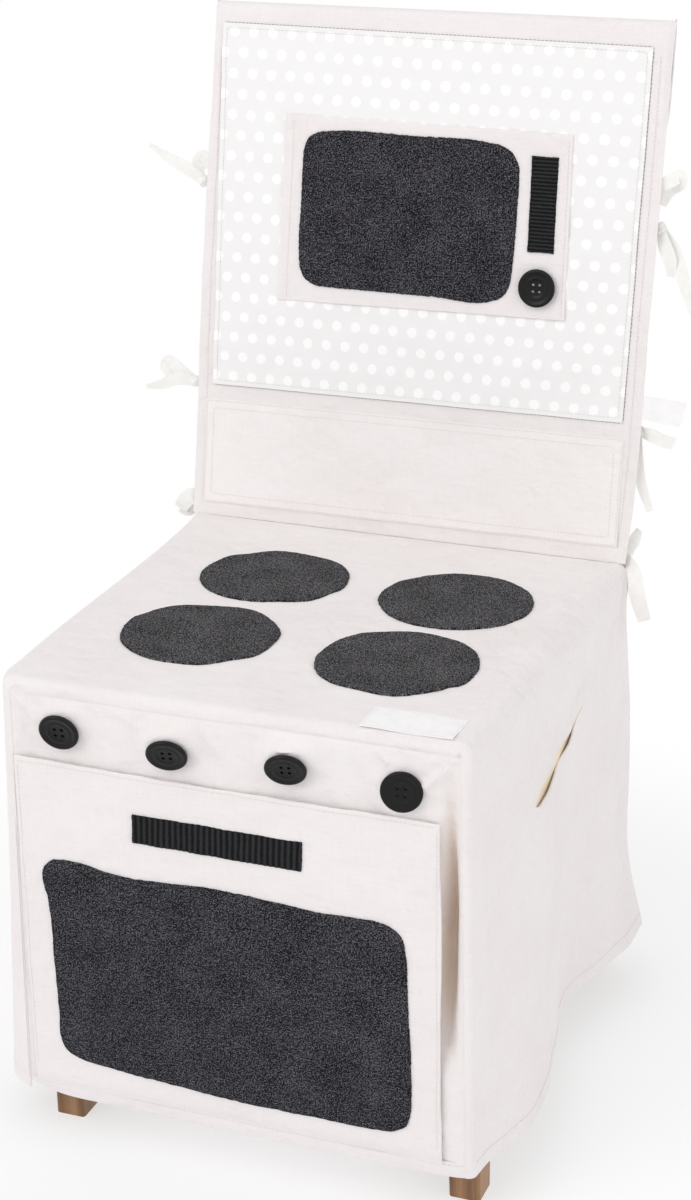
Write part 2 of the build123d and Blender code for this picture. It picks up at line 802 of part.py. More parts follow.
def label_patch():
    """Blank woven label on the front right corner of the hob."""
    return Pos(label_x, front_y + label_y, seat_height + label_cloth / 2) * Box(
        label_width, label_depth, label_cloth)


def side_tag():
    """Blank care tag caught in the right edge of the sleeve."""
    edge = sleeve_width / 2
    return back * block(edge, edge + tag_width, 0, label_cloth, tag_z, tag_z + tag_height)


def tie(side, height, tails):
    """A ribbon tie across the open side of the sleeve: a bridge, a knot and its tails."""
    edge = sleeve_width / 2 + ease
    half = ribbon_width / 2
    bridge = block(edge, edge + ribbon, 0, sleeve_depth, height - half, height + half)
    knot_x = edge + knot_size / 2
    knot = Pos(knot_x, sleeve_depth / 2, height) * fillet(
        Box(knot_size, knot_size, knot_size).edges(), knot_size / 4)
    shape = bridge + knot
    for number, tail in enumerate(tails):
        depth = sleeve_depth / 2 + (number * 2 - 1) * ribbon
        path = Polyline([(knot_x + x * tail_reach, height + z * tail_reach) for x, z in tail])
        strip = extrude(Plane.XZ * trace(path, ribbon_width), amount=ribbon)
        shape += Pos(0, depth, 0) * strip
    return back * shape if side > 0 else mirrored(back * shape)


# ================================================================ write the pieces
parts = {
    "front_right_leg": front_leg(),
    "front_left_leg": mirrored(front_leg()),
    "rear_right_post": rear_post(),
    "rear_left_post": mirrored(rear_post()),
    "front_rail": front_rail(),
    "rear_rail": rear_rail(),
    "right_rail": side_rail(),
    "left_rail": mirrored(side_rail()),
    "right_stretcher": side_stretcher(),
    "left_stretcher": mirrored(side_stretcher()),
    "cross_stretcher": cross_stretcher(),
    "corner_blocks": corner_blocks(),
    "seat_screws": seat_screws(),
    "seat_board": chair_seat(),
    "crest_rail": crest_rail(),
    "lower_back_rail": lower_back_rail(),
    "back_slats": back_slats(),
    "seat_panel": seat_panel(),
    "front_panel": front_panel(),
    "front_hem": front_hem_band(),
    "left_side_panel": left_side_panel(),
    "right_side_panel": right_side_panel(),
    "side_pocket": side_pocket(),
    "back_panel": back_panel(),
    "oven_liner": oven_liner(),
    "oven_door": oven_door(),
    "oven_window": oven_window(),
    "oven_handle": oven_handle(),
    "loop_tapes": closure_tapes(front_y, loop_tape),
    "hook_tapes": closure_tapes(door_back + hook_tape, hook_tape),
    "knob_shanks": knob_shanks(),
    "sleeve_front": sleeve_front(),
    "sleeve_back": sleeve_back(),
    "splash_panel": splash_panel(),
    "dotted_panel": dotted_panel(),
    "microwave_door": microwave_door(),
    "microwave_window": microwave_window(),
    "microwave_handle": microwave_handle(),
    "microwave_knob": microwave_knob(),
    "microwave_shank": microwave_shank(),
    "burner_front_left": burner(-1, -1),
    "burner_front_right": burner(1, -1),
    "burner_rear_left": burner(-1, 1),
    "burner_rear_right": burner(1, 1),
    "label_patch": label_patch(),
    "side_tag": side_tag(),
}
for number in range(len(knob_hang)):
    parts[f"knob_{number + 1}"] = knob(number)
tie_places = (("top", tie_top), ("middle", tie_middle), ("bottom", tie_bottom))
for (place, height), left, right in zip(tie_places, left_tails, right_tails):
    parts[f"tie_left_{place}"] = tie(-1, height, left)
    parts[f"tie_right_{place}"] = tie(1, height, right)

for name, shape in parts.items():
    solids = shape if isinstance(shape, list) else [shape]
    export_step(Compound(children=[s for piece in solids for s in piece.solids()]),
                f"parts/{name}.step")
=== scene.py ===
"""A toy oven: a cloth cover over a wooden chair, with felt rings, button knobs and two doors.

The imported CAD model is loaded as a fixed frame, in metres, and every piece here is built on it:
cloth panels with their folds, hems and stitches, felt, webbing, buttons, ties and woodwork.
"""

from __future__ import annotations

import json
import logging
import math
import random
from dataclasses import dataclass
from enum import Enum
from functools import lru_cache
from typing import Callable, Protocol, Sequence

import bmesh
import bpy
import numpy as np
from mathutils import Matrix, Vector

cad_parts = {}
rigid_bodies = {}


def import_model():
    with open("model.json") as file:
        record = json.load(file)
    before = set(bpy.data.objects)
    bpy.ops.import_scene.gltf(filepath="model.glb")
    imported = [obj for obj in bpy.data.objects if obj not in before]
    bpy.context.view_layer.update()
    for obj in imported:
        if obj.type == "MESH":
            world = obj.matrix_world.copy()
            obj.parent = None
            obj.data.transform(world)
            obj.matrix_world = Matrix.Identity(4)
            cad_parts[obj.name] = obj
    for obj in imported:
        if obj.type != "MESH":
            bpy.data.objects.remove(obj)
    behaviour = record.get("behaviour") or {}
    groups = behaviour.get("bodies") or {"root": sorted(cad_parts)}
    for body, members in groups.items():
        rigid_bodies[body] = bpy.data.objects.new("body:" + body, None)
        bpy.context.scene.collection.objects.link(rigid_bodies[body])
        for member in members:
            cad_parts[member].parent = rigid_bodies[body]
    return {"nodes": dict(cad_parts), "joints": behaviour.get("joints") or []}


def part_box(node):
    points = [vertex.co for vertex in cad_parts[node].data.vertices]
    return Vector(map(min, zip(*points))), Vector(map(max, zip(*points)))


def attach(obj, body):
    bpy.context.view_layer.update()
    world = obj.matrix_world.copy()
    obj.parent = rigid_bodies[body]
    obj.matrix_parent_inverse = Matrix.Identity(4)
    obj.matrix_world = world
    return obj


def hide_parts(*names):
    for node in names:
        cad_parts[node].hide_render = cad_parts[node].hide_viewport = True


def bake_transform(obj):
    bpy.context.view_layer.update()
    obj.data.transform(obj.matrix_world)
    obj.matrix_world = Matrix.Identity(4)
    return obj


for leftover in list(bpy.data.objects):
    bpy.data.objects.remove(leftover)
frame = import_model()
log = logging.getLogger("toy_oven")

Array = np.ndarray
Colour = tuple[float, float, float]
Flat = tuple[float, float]
Place = tuple[float, float, float]
Row = tuple[float, ...]
Span = tuple[float, float, float, float]  # low and high across, then low and high up
Socket = bpy.types.NodeSocket
Material = bpy.types.Material
Object = bpy.types.Object

CLOTH_MAP = "cloth"  # the UV map that holds each cloth's flat coordinates, in metres
TINT = "tint"  # the attribute for the depth in a fold or the height on a rib, 0 to 1; it paints shade in the fold and a highlight on the rib
SHARP_EDGE = math.radians(48)  # angle from which an edge is shaded sharp
SHARP_RIM = math.radians(70)  # the same for the rolled edges of slabs and felts
STITCH = 0.0029  # length of a stitch, in metres
STITCH_GAP = 0.0009  # between two stitches
ABOVE = 0.0001  # how far a seam or a panel stands off its cloth
FELT = 0.0019  # thickness of the felt
FELT_ROUND = 0.0007  # radius of its upper edge
KNOB_HALF = 0.0023  # from a knob's middle to its back
UPWARD: Place = (0.0, 0.0, 1.0)
FORWARD: Place = (0.0, -1.0, 0.0)
BACKWARD: Place = (0.0, 1.0, 0.0)
OFF_SLEEVE: Place = (0.0, -1.0, 0.15)  # away from the sleeve's leaning front
WHITE: Colour = (1.0, 1.0, 1.0)
COVER = "cover_and_chair"  # the body that carries all that doesn't move
KNOBS = ("knob_1", "knob_2", "knob_3", "knob_4")


# ------------------------------------------------------------------ shader maths
def maths(operation: str, reflected: bool = False) -> Callable[..., Expr]:
    """A method of Expr that adds one Math node.

    Args:
        operation: Blender's name of what the node does.
        reflected: whether self stands behind the other value.

    Returns:
        The method, which takes the other values.
    """

    def method(self: Expr, *others: Expr | float) -> Expr:
        """What the node makes of self and the others."""
        values = (*others, self) if reflected else (self, *others)
        node = self.shader.node("ShaderNodeMath", {"operation": operation}, dict(enumerate(values)))
        return Expr(self.shader, node.outputs[0])

    return method


class Expr:
    """A number on a shader socket; arithmetic on it adds Math nodes."""

    __add__, __radd__ = maths("ADD"), maths("ADD", reflected=True)
    __sub__, __rsub__ = maths("SUBTRACT"), maths("SUBTRACT", reflected=True)
    __mul__, __rmul__ = maths("MULTIPLY"), maths("MULTIPLY", reflected=True)
    __truediv__, __rtruediv__ = maths("DIVIDE"), maths("DIVIDE", reflected=True)
    whole, part = maths("FLOOR"), maths("FRACT")  # the whole number at or below, and the rest
    sine, root = maths("SINE"), maths("SQRT")
    size, larger = maths("ABSOLUTE"), maths("MAXIMUM")

    def __init__(self, shader: Shader, socket: Socket) -> None:
        """Wrap one output socket of a shader's nodes."""
        self.shader = shader
        self.socket = socket

    def step(self, low: float, high: float) -> Expr:
        """A smooth step of self, from 0 at low to 1 at high."""
        inputs = {"Value": self, "From Min": low, "From Max": high}
        settings = {"interpolation_type": "SMOOTHSTEP"}
        node = self.shader.node("ShaderNodeMapRange", settings, inputs)
        return Expr(self.shader, node.outputs["Result"])


class Shader:
    """The node tree of one material, or of the world."""

    def __init__(self, name: str, world: bpy.types.World | None = None) -> None:
        """Start an empty material, or empty the nodes of a world."""
        self.material = bpy.data.materials.new(name) if world is None else world
        self.material.use_nodes = True
        self.tree = self.material.node_tree
        self.tree.nodes.clear()

    def node(
        self,
        kind: str,
        settings: dict[str, object] | None = None,
        inputs: dict[str | int, object] | None = None,
    ) -> bpy.types.Node:
        """Add one node.

        Args:
            kind: Blender's name of the node's type.
            settings: the node's own settings, set first; "stops" are a ramp's (place, colour).
            inputs: a value, an Expr or a socket for each input, by name or number.

        Returns:
            The node, set and linked.
        """
        node = self.tree.nodes.new(kind)
        for name, value in (settings or {}).items():
            if name == "stops":
                self._set_stops(node, value)
            else:
                setattr(node, name, value)
        for name, value in (inputs or {}).items():
            if isinstance(value, Expr):
                self.tree.links.new(value.socket, node.inputs[name])
            elif isinstance(value, Socket):
                self.tree.links.new(value, node.inputs[name])
            elif isinstance(value, tuple) and node.inputs[name].type == "RGBA":
                node.inputs[name].default_value = (*value, 1.0)
            else:
                node.inputs[name].default_value = value
        return node

    @staticmethod
    def _set_stops(node: bpy.types.Node, stops: Sequence[tuple[float, Colour]]) -> None:
        """Give a colour ramp its stops."""
        elements = node.color_ramp.elements
        while len(elements) < len(stops):
            elements.new(1.0)
        for element, (place, colour) in zip(elements, stops):
            element.position = place
            element.color = (*colour, 1.0)

    def expr(self, node: bpy.types.Node, output: int | str = 0) -> Expr:
        """One output of a node as a number."""
        return Expr(self, node.outputs[output])

    def cloth(self) -> tuple[Expr, Expr, Socket]:
        """The flat coordinates of a cloth, in metres, and the same as a vector."""
        vector = self.node("ShaderNodeUVMap", {"uv_map": CLOTH_MAP}).outputs["UV"]
        split = self.node("ShaderNodeSeparateXYZ", None, {0: vector})
        return self.expr(split, 0), self.expr(split, 1), vector

    def place(self) -> tuple[Expr, Expr, Expr, Socket]:
        """The point of the object in the frame, in metres, and the same as a vector."""
        vector = self.node("ShaderNodeTexCoord").outputs["Object"]
        split = self.node("ShaderNodeSeparateXYZ", None, {0: vector})
        return self.expr(split, 0), self.expr(split, 1), self.expr(split, 2), vector

    def tint(self) -> Expr:
        """The tint that the points of a piece carry, 0 to 1."""
        return self.expr(self.node("ShaderNodeAttribute", {"attribute_name": TINT}), "Fac")

    def vector(self, x: Expr | float, y: Expr | float, z: Expr | float = 0.0) -> Socket:
        """Three numbers as a vector."""
        return self.node("ShaderNodeCombineXYZ", None, {0: x, 1: y, 2: z}).outputs[0]

    def noise(self, vector: Socket, scale: float, detail: float = 2.0, rough: float = 0.5) -> Expr:
        """Noise around a half, with scale waves to the metre."""
        inputs = {"Vector": vector, "Scale": scale, "Detail": detail, "Roughness": rough}
        return self.expr(self.node("ShaderNodeTexNoise", None, inputs), 0)

    def mix(self, share: Expr | float, first: object, second: object, mode: str = "MIX") -> Socket:
        """Two colours mixed by a share of the second."""
        settings = {"data_type": "RGBA", "blend_type": mode}
        return self.node("ShaderNodeMix", settings, {0: share, 6: first, 7: second}).outputs[2]

    def ramp(self, value: Expr, stops: Sequence[tuple[float, Colour]]) -> Socket:
        """A number looked up on a colour ramp."""
        return self.node("ShaderNodeValToRGB", {"stops": stops}, {0: value}).outputs[0]

    def bump(self, height: Expr, distance: float) -> Socket:
        """A normal raised by a height of 0 to 1 over a distance in metres."""
        inputs = {"Height": height, "Distance": distance, "Strength": 1.0}
        return self.node("ShaderNodeBump", None, inputs).outputs[0]

    def finish(
        self, colour: object, roughness: Expr | float, normal: Socket, **constants: float,
    ) -> Material:
        """Close the tree with a Principled BSDF.

        Args:
            colour: the base colour, as a value or a socket.
            roughness: the roughness, as a number or an Expr.
            normal: the normal, raised by a bump.
            constants: other inputs by name, with _ for a space, the same all over.

        Returns:
            The finished material.
        """
        inputs = {"Base Color": colour, "Roughness": roughness, "Normal": normal}
        inputs.update((name.replace("_", " "), value) for name, value in constants.items())
        surface = self.node("ShaderNodeBsdfPrincipled", None, inputs)
        self.node("ShaderNodeOutputMaterial", None, {"Surface": surface.outputs[0]})
        return self.material


# ------------------------------------------------------------------ finishes
class Finish(Protocol):
    """Anything that can build its material."""

    def build(self) -> Material:
        """Build the material."""


@lru_cache(maxsize=None)
def material_of(finish: Finish) -> Material:
    """The material of a finish, built once."""
    return finish.build()


def weave(u: Expr, v: Expr, pitch: float) -> Expr:
    """The height of a plain weave, 0 to 1, with threads a pitch apart."""
    across = (u * (math.pi / pitch)).sine()
    along = (v * (math.pi / pitch)).sine()
    return across * along * 0.5 + 0.5


def stripes(run: Expr, pitch: float) -> Expr:
    """Soft stripes across a run, 0 to 1, a pitch apart."""
    return (run * (math.tau / pitch)).sine() * 0.5 + 0.5


@dataclass(frozen=True)
class Canvas:
    """Unbleached cotton canvas in a plain weave, with slubs and seed flecks, and painted shade in
    warm brown where the tint marks a deep fold.
    """

    name: str = "canvas"
    colour: Colour = (0.878, 0.836, 0.834)
    shade: Colour = (0.835, 0.788, 0.781)
    fleck: Colour = (0.60, 0.51, 0.42)
    shaded_hollow: Colour = (0.68, 0.54, 0.42)
    pitch: float = 0.0011
    relief: float = 0.00085

    def build(self) -> Material:
        """Build the canvas material."""
        shader = Shader(self.name)
        u, v, flat = shader.cloth()
        threads = weave(u, v, self.pitch)
        warp = shader.noise(shader.vector(u * 640.0, v * 34.0), 1.0)
        weft = shader.noise(shader.vector(u * 30.0, v * 700.0), 1.0)
        slubs = (warp + weft) * 0.5
        cloudy = shader.noise(flat, 9.0, 3.0)
        tone = (slubs - 0.5) * 1.3 + (cloudy - 0.5) * 1.3 + 0.42
        colour = shader.mix(tone.step(0.1, 0.95), self.colour, self.shade)
        flecks = shader.noise(flat, 420.0, 1.0).step(0.77, 0.83)
        colour = shader.mix(flecks * 0.55, colour, self.fleck)
        # painted shade: the tint, a fold's depth, turns the colour warm brown
        colour = shader.mix(shader.tint() * 0.9, colour, self.shaded_hollow)
        puckers = shader.noise(flat, 55.0, 4.0, 0.62)
        creases = (shader.noise(flat, 26.0, 1.0) - 0.5).size().step(0.0, 0.15)
        patchy = shader.noise(flat, 8.0, 2.0).step(0.38, 0.66)
        height = threads * 0.16 + slubs * 0.22 + puckers * 3.3 + creases * patchy * 0.9
        normal = shader.bump(height, self.relief)
        return shader.finish(colour, 0.92, normal, Sheen_Weight=0.06, Specular_IOR_Level=0.2)


@dataclass(frozen=True)
class DottedCotton:
    """Pale cotton print with white dots in staggered rows."""

    name: str = "dotted_cotton"
    ground: Colour = (0.884, 0.873, 0.872)
    dot: Colour = (0.975, 0.975, 0.97)
    pitch: Flat = (0.0191, 0.0189)
    start: Flat = (0.0025, 0.0093)
    radius: float = 0.0048
    thread: float = 0.0007

    def build(self) -> Material:
        """Build the dotted material."""
        shader = Shader(self.name)
        u, v, flat = shader.cloth()
        row = (v - self.start[1]) / self.pitch[1] + 0.5
        stagger = (row.whole() * 0.5).part()
        column = (u - self.start[0]) / self.pitch[0] + 0.5 + stagger
        aside = (column.part() - 0.5) * self.pitch[0]
        above = (row.part() - 0.5) * self.pitch[1]
        wobble = (shader.noise(flat, 160.0, 2.0) - 0.5) * 0.0016
        distance = (aside * aside + above * above).root() + wobble
        printed = 1 - distance.step(self.radius - 0.0005, self.radius + 0.0005)
        cloudy = shader.noise(flat, 40.0, 3.0)
        ground = shader.mix(cloudy.step(0.3, 0.8) * 0.25, self.ground, (0.85, 0.84, 0.832))
        colour = shader.mix(printed, ground, self.dot)
        threads = weave(u, v, self.thread)
        slubs = shader.noise(shader.vector(u * 500.0, v * 40.0), 1.0)
        normal = shader.bump(threads * 0.3 + slubs * 0.5 + printed * 0.3, 0.00012)
        return shader.finish(colour, 0.85, normal, Sheen_Weight=0.08, Specular_IOR_Level=0.25)


@dataclass(frozen=True)
class Felt:
    """Mottled wool felt: dark fibres with pale and brown ones among them."""

    name: str
    stops: tuple[tuple[float, Colour], ...]
    lint: float = 0.22

    def build(self) -> Material:
        """Build the felt material."""
        shader = Shader(self.name)
        u, v, flat = shader.cloth()
        fibres = shader.noise(flat, 740.0, 4.0, 0.8)
        tufts = shader.noise(flat, 230.0, 3.0, 0.75)
        patches = shader.noise(flat, 28.0, 2.0)
        tone = (fibres - 0.5) * 3.0 + (tufts - 0.5) * 0.6 + (patches - 0.5) * 0.2 + 0.5
        colour = shader.ramp(tone, self.stops)
        brown = shader.noise(flat, 45.0, 2.0).step(0.5, 0.7)
        colour = shader.mix(brown * 0.2, colour, (0.05, 0.034, 0.036), "SCREEN")
        hairs = shader.noise(shader.vector(u * 900.0, v * 260.0), 1.0, 2.0, 0.8).step(0.66, 0.78)
        colour = shader.mix(hairs * self.lint, colour, (0.30, 0.30, 0.31))
        normal = shader.bump(fibres * 0.7 + tufts * 0.6, 0.0009)
        return shader.finish(colour, 0.97, normal, Sheen_Weight=0.04, Specular_IOR_Level=0.03)


@dataclass(frozen=True)
class Webbing:
    """Black woven webbing with fine lengthwise threads over its ribs, their crests painted lighter
    as a highlight.
    """

    name: str = "webbing_black"
    colour: Colour = (0.0055, 0.0055, 0.006)
    crest_highlight_and_fuzz: Colour = (0.036, 0.037, 0.040)
    thread: float = 0.0009

    def build(self) -> Material:
        """Build the webbing material."""
        shader = Shader(self.name)
        _, v, flat = shader.cloth()
        threads = stripes(v, self.thread)
        fuzz = shader.noise(flat, 900.0, 2.0, 0.7)
        # painted highlight: lighter at the rib crests, by the tint, mixed with random fuzz tone
        crest_highlight_and_fuzz_share = shader.tint() * 0.75 + (fuzz - 0.5) * 1.2 + (threads - 0.5) * 0.15
        colour = shader.mix(crest_highlight_and_fuzz_share.step(0.1, 1.0), self.colour, self.crest_highlight_and_fuzz)
        normal = shader.bump(threads * 0.5 + fuzz * 0.5, 0.0003)
        return shader.finish(colour, fuzz * 0.3 + 0.6, normal, Specular_IOR_Level=0.1)


@dataclass(frozen=True)
class ButtonResin:
    """Matte black moulded resin with a fine grain."""

    name: str = "button_black"
    colour: Colour = (0.003, 0.003, 0.0034)

    def build(self) -> Material:
        """Build the button material."""
        shader = Shader(self.name)
        *_, place = shader.place()
        grain = shader.noise(place, 1500.0, 2.0)
        scuffs = shader.noise(place, 180.0, 4.0, 0.7)
        colour = shader.mix(scuffs.step(0.45, 0.8) * 0.5, self.colour, (0.007, 0.007, 0.008))
        normal = shader.bump(grain * 0.5 + scuffs * 0.5, 0.00008)
        return shader.finish(colour, scuffs * 0.2 + 0.24, normal, Specular_IOR_Level=0.24)


@dataclass(frozen=True)
class Ribbon:
    """Soft cotton tape in a fine herringbone."""

    name: str = "cotton_ribbon"
    colour: Colour = (0.945, 0.935, 0.91)
    fold: Colour = (0.90, 0.87, 0.80)

    def build(self) -> Material:
        """Build the ribbon material."""
        shader = Shader(self.name)
        u, v, flat = shader.cloth()
        zigzag = ((u * 380.0).part() - 0.5).size() * 2.0
        twill = stripes(zigzag + v * 900.0, 1.0)
        cloudy = shader.noise(flat, 120.0, 3.0)
        colour = shader.mix(cloudy.step(0.4, 0.75) * 0.6, self.colour, self.fold)
        normal = shader.bump(twill * 0.5 + cloudy * 0.6, 0.0002)
        return shader.finish(colour, 0.85, normal, Sheen_Weight=0.15, Specular_IOR_Level=0.3)


@dataclass(frozen=True)
class Satin:
    """Smooth white woven satin of a blank label."""

    name: str = "label_satin"
    colour: Colour = (0.945, 0.925, 0.93)
    thread: float = 0.0008

    def build(self) -> Material:
        """Build the satin material."""
        shader = Shader(self.name)
        u, v, flat = shader.cloth()
        floats = stripes(u + v * 0.35, self.thread)
        cloudy = shader.noise(flat, 90.0, 2.0)
        colour = shader.mix(cloudy.step(0.35, 0.8) * 0.5, self.colour, (0.84, 0.84, 0.85))
        normal = shader.bump(floats * 0.4 + cloudy * 0.4, 0.00008)
        return shader.finish(colour, cloudy * 0.2 + 0.4, normal, Sheen_Weight=0.1)


@dataclass(frozen=True)
class ClosureTape:
    """Hook-and-loop tape: a field of small tufts on a woven tape."""

    name: str = "closure_tape"
    colour: Colour = (0.8, 0.79, 0.76)

    def build(self) -> Material:
        """Build the closure tape material."""
        shader = Shader(self.name)
        u, v, flat = shader.cloth()
        tufts = weave(u, v, 0.0016)
        fuzz = shader.noise(flat, 1300.0, 2.0, 0.8)
        colour = shader.mix((tufts * fuzz).step(0.1, 0.5), (0.62, 0.6, 0.56), self.colour)
        normal = shader.bump(tufts * 0.6 + fuzz * 0.6, 0.0005)
        return shader.finish(colour, 0.9, normal, Sheen_Weight=0.2)


@dataclass(frozen=True)
class Thread:
    """Twisted sewing thread."""

    name: str
    colour: Colour
    twist: float = 0.0007

    def build(self) -> Material:
        """Build the thread material."""
        shader = Shader(self.name)
        x, y, z, place = shader.place()
        twist = stripes(x + y + z, self.twist)
        fuzz = shader.noise(place, 1800.0, 2.0)
        dark = tuple(channel * 0.72 for channel in self.colour)
        colour = shader.mix((twist * 0.6 + fuzz * 0.5).step(0.2, 0.9), dark, self.colour)
        normal = shader.bump(twist * 0.5 + fuzz * 0.4, 0.0001)
        return shader.finish(colour, 0.75, normal, Sheen_Weight=0.1)


class Grain(Enum):
    """The way that a wooden member's grain runs."""

    ACROSS = "x"
    DEEP = "y"
    UPRIGHT = "z"


@dataclass(frozen=True)
class Wood:
    """Satin-lacquered mid-brown hardwood, its grain along the member."""

    grain: Grain
    pale: Colour = (0.37, 0.20, 0.095)
    dark: Colour = (0.17, 0.082, 0.036)

    def build(self) -> Material:
        """Build the wood material."""
        shader = Shader(f"wood_{self.grain.name.lower()}")
        x, y, z, _ = shader.place()
        along, first, second = {
            Grain.ACROSS: (x, y, z),
            Grain.DEEP: (y, x, z),
            Grain.UPRIGHT: (z, x, y),
        }[self.grain]
        drift = shader.noise(shader.vector(first * 12.0, second * 12.0, along * 3.0), 1.0, 3.0)
        reach = (first + 0.31) * (first + 0.31) + (second + 0.17) * (second + 0.17)
        rings = ((reach.root() * 210.0 + drift * 9.0) * 2.0).sine() * 0.5 + 0.5
        pores = shader.noise(shader.vector(first * 900.0, second * 900.0, along * 35.0), 1.0)
        streaks = shader.noise(shader.vector(first * 160.0, second * 160.0, along * 5.0), 1.0, 3.0)
        tone = rings * 0.4 + streaks * 0.55 + (pores - 0.5) * 0.5
        colour = shader.ramp(tone, ((0.2, self.dark), (0.75, self.pale)))
        normal = shader.bump(pores.step(0.35, 0.6) * 0.6 + rings * 0.3, 0.00012)
        return shader.finish(colour, pores * 0.2 + 0.32, normal, Specular_IOR_Level=0.45)


@dataclass(frozen=True)
class Steel:
    """Plain bright steel of the seat's screws."""

    name: str = "screw_steel"
    colour: Colour = (0.56, 0.55, 0.53)

    def build(self) -> Material:
        """Build the steel material."""
        shader = Shader(self.name)
        *_, place = shader.place()
        scratches = shader.noise(place, 900.0, 3.0)
        normal = shader.bump(scratches, 0.00004)
        colour = shader.mix(scratches.step(0.4, 0.8) * 0.4, self.colour, (0.4, 0.39, 0.37))
        return shader.finish(colour, scratches * 0.25 + 0.25, normal, Metallic=1.0)


CANVAS = Canvas()
# painted light: a brighter copy of the canvas for the splash panel
LIT_CANVAS = Canvas("canvas_lit_copy", (0.925, 0.880, 0.878), (0.885, 0.836, 0.828))
# painted shade: a warm tan copy of the canvas for the inside of the pocket
POCKET_SHADE_CANVAS = Canvas("canvas_pocket_shade", (0.93, 0.79, 0.60), (0.86, 0.70, 0.50))
BURNER_FELT = Felt("felt_burner", (
    (0.30, (0.004, 0.0035, 0.0045)),
    (0.50, (0.0185, 0.0172, 0.0192)),
    (0.76, (0.225, 0.22, 0.23)),
))
WINDOW_FELT = Felt("felt_window", (
    (0.30, (0.0025, 0.0025, 0.004)),
    (0.50, (0.0115, 0.0113, 0.0147)),
    (0.76, (0.148, 0.147, 0.167)),
))
BLACK_THREAD = Thread("thread_black", (0.012, 0.012, 0.012))
PALE_THREAD = Thread("thread_natural", (0.84, 0.80, 0.74))


# ------------------------------------------------------------------ cloth shapes
def hermite(places: Sequence[float], values: Sequence[float], at: Array | float) -> Array:
    """A smooth curve through given values.

    Args:
        places: where the values stand, rising.
        values: the values there.
        at: where to read the curve; it is level outside the places.

    Returns:
        The curve's values.
    """
    xs, ys = np.asarray(places, float), np.asarray(values, float)
    slopes = np.gradient(ys, xs)
    at = np.clip(at, xs[0], xs[-1])
    cell = np.clip(np.searchsorted(xs, at) - 1, 0, len(xs) - 2)
    span = xs[cell + 1] - xs[cell]
    t = (at - xs[cell]) / span
    rise = ys[cell] * (1 + 2 * t) * (1 - t) ** 2 + ys[cell + 1] * t * t * (3 - 2 * t)
    return rise + span * t * (1 - t) * (slopes[cell] * (1 - t) - slopes[cell + 1] * t)


def distances(path: Array) -> Array:
    """How far along a path each of its points is."""
    steps = np.linalg.norm(np.diff(path, axis=0), axis=1)
    return np.concatenate([[0.0], np.cumsum(steps)])


def read_path(path: Array, at: Array) -> Array:
    """Points of a path at distances along it."""
    run = distances(path)
    return np.stack([np.interp(at, run, path[:, k]) for k in range(path.shape[1])], axis=1)


def evenly(path: Array, count: int, closed: bool) -> Array:
    """Points evenly spaced along a path, without its end where it is closed."""
    return read_path(path, np.linspace(0.0, distances(path)[-1], count, endpoint=not closed))


def looped(outline: Array) -> Array:
    """A closed outline with its first point once more at its end."""
    return np.concatenate([outline, outline[:1]])


def units(vectors: Array) -> Array:
    """Vectors at length 1."""
    return vectors / np.maximum(np.linalg.norm(vectors, axis=1, keepdims=True), 1e-9)


def smooth_path(points: Sequence[Sequence[float]], count: int, closed: bool = False) -> Array:
    """Points evenly spaced along a smooth curve through given points.

    Args:
        points: the given points, in any number of dimensions.
        count: how many points to return.
        closed: whether the curve returns to its start.

    Returns:
        An array of count rows.
    """
    knots = np.asarray(points, float)
    if closed:
        knots = np.concatenate([knots[-2:], knots, knots[:3]])
    marks = distances(knots)
    low, high = (marks[2], marks[-3]) if closed else (marks[0], marks[-1])
    dense = np.linspace(low, high, 16 * count)
    curve = np.stack([hermite(marks, knots[:, k], dense) for k in range(knots.shape[1])], axis=1)
    return evenly(curve, count, closed)


def smoothstep(value: Array | float, low: float, high: float) -> Array:
    """A smooth step from 0 at low to 1 at high."""
    t = np.clip((np.asarray(value, float) - low) / (high - low), 0.0, 1.0)
    return t * t * (3 - 2 * t)


def bell(value: Array, middle: Array | float, width: float) -> Array:
    """A smooth hump, 1 high at its middle."""
    return np.exp(-(((value - middle) / width) ** 2))


@dataclass(frozen=True)
class Ripple:
    """Small irregular waves of a cloth: a seeded sum of plane waves."""

    height: float
    wavelength: float
    seed: int
    stretch: Flat = (1.0, 1.0)
    waves: int = 9
    creased: bool = False

    def __call__(self, u: Array, v: Array) -> Array:
        """The height of the waves at each point, folded down at their middles where creased."""
        rng = random.Random(self.seed)
        total = np.zeros(np.broadcast(u, v).shape)
        for _ in range(self.waves):
            angle = rng.uniform(0, math.tau)
            rate = math.tau / (self.wavelength * rng.uniform(0.6, 1.8))
            across = math.cos(angle) / self.stretch[0] * u + math.sin(angle) / self.stretch[1] * v
            total += np.sin(rate * across + rng.uniform(0, math.tau))
        total = np.abs(total) if self.creased else total
        return self.height * total / math.sqrt(self.waves)


@dataclass(frozen=True)
class Crease:
    """A soft ridge, or with a negative height a valley, between two points of a cloth."""

    start: Flat
    end: Flat
    width: float
    height: float

    def __call__(self, u: Array, v: Array) -> Array:
        """The height of the crease at each point."""
        along = np.array(self.end) - np.array(self.start)
        length = float(np.hypot(*along))
        du, dv = u - self.start[0], v - self.start[1]
        share = (du * along[0] + dv * along[1]) / length**2
        away = (du * along[1] - dv * along[0]) / length
        taper = smoothstep(share, -0.15, 0.3) * (1 - smoothstep(share, 0.6, 1.15))
        return self.height * taper * bell(away, 0.0, self.width)


@dataclass(frozen=True)
class Gully:
    """A long fold that runs down a cloth, its middle and depth given at some heights."""

    heights: Row
    middles: Row
    depths: Row
    width: float

    def __call__(self, u: Array, v: Array) -> Array:
        """The depth of the fold at each point, below zero."""
        middle = hermite(self.heights, self.middles, v)
        depth = hermite(self.heights, self.depths, v)
        return -depth * bell(u, middle, self.width)


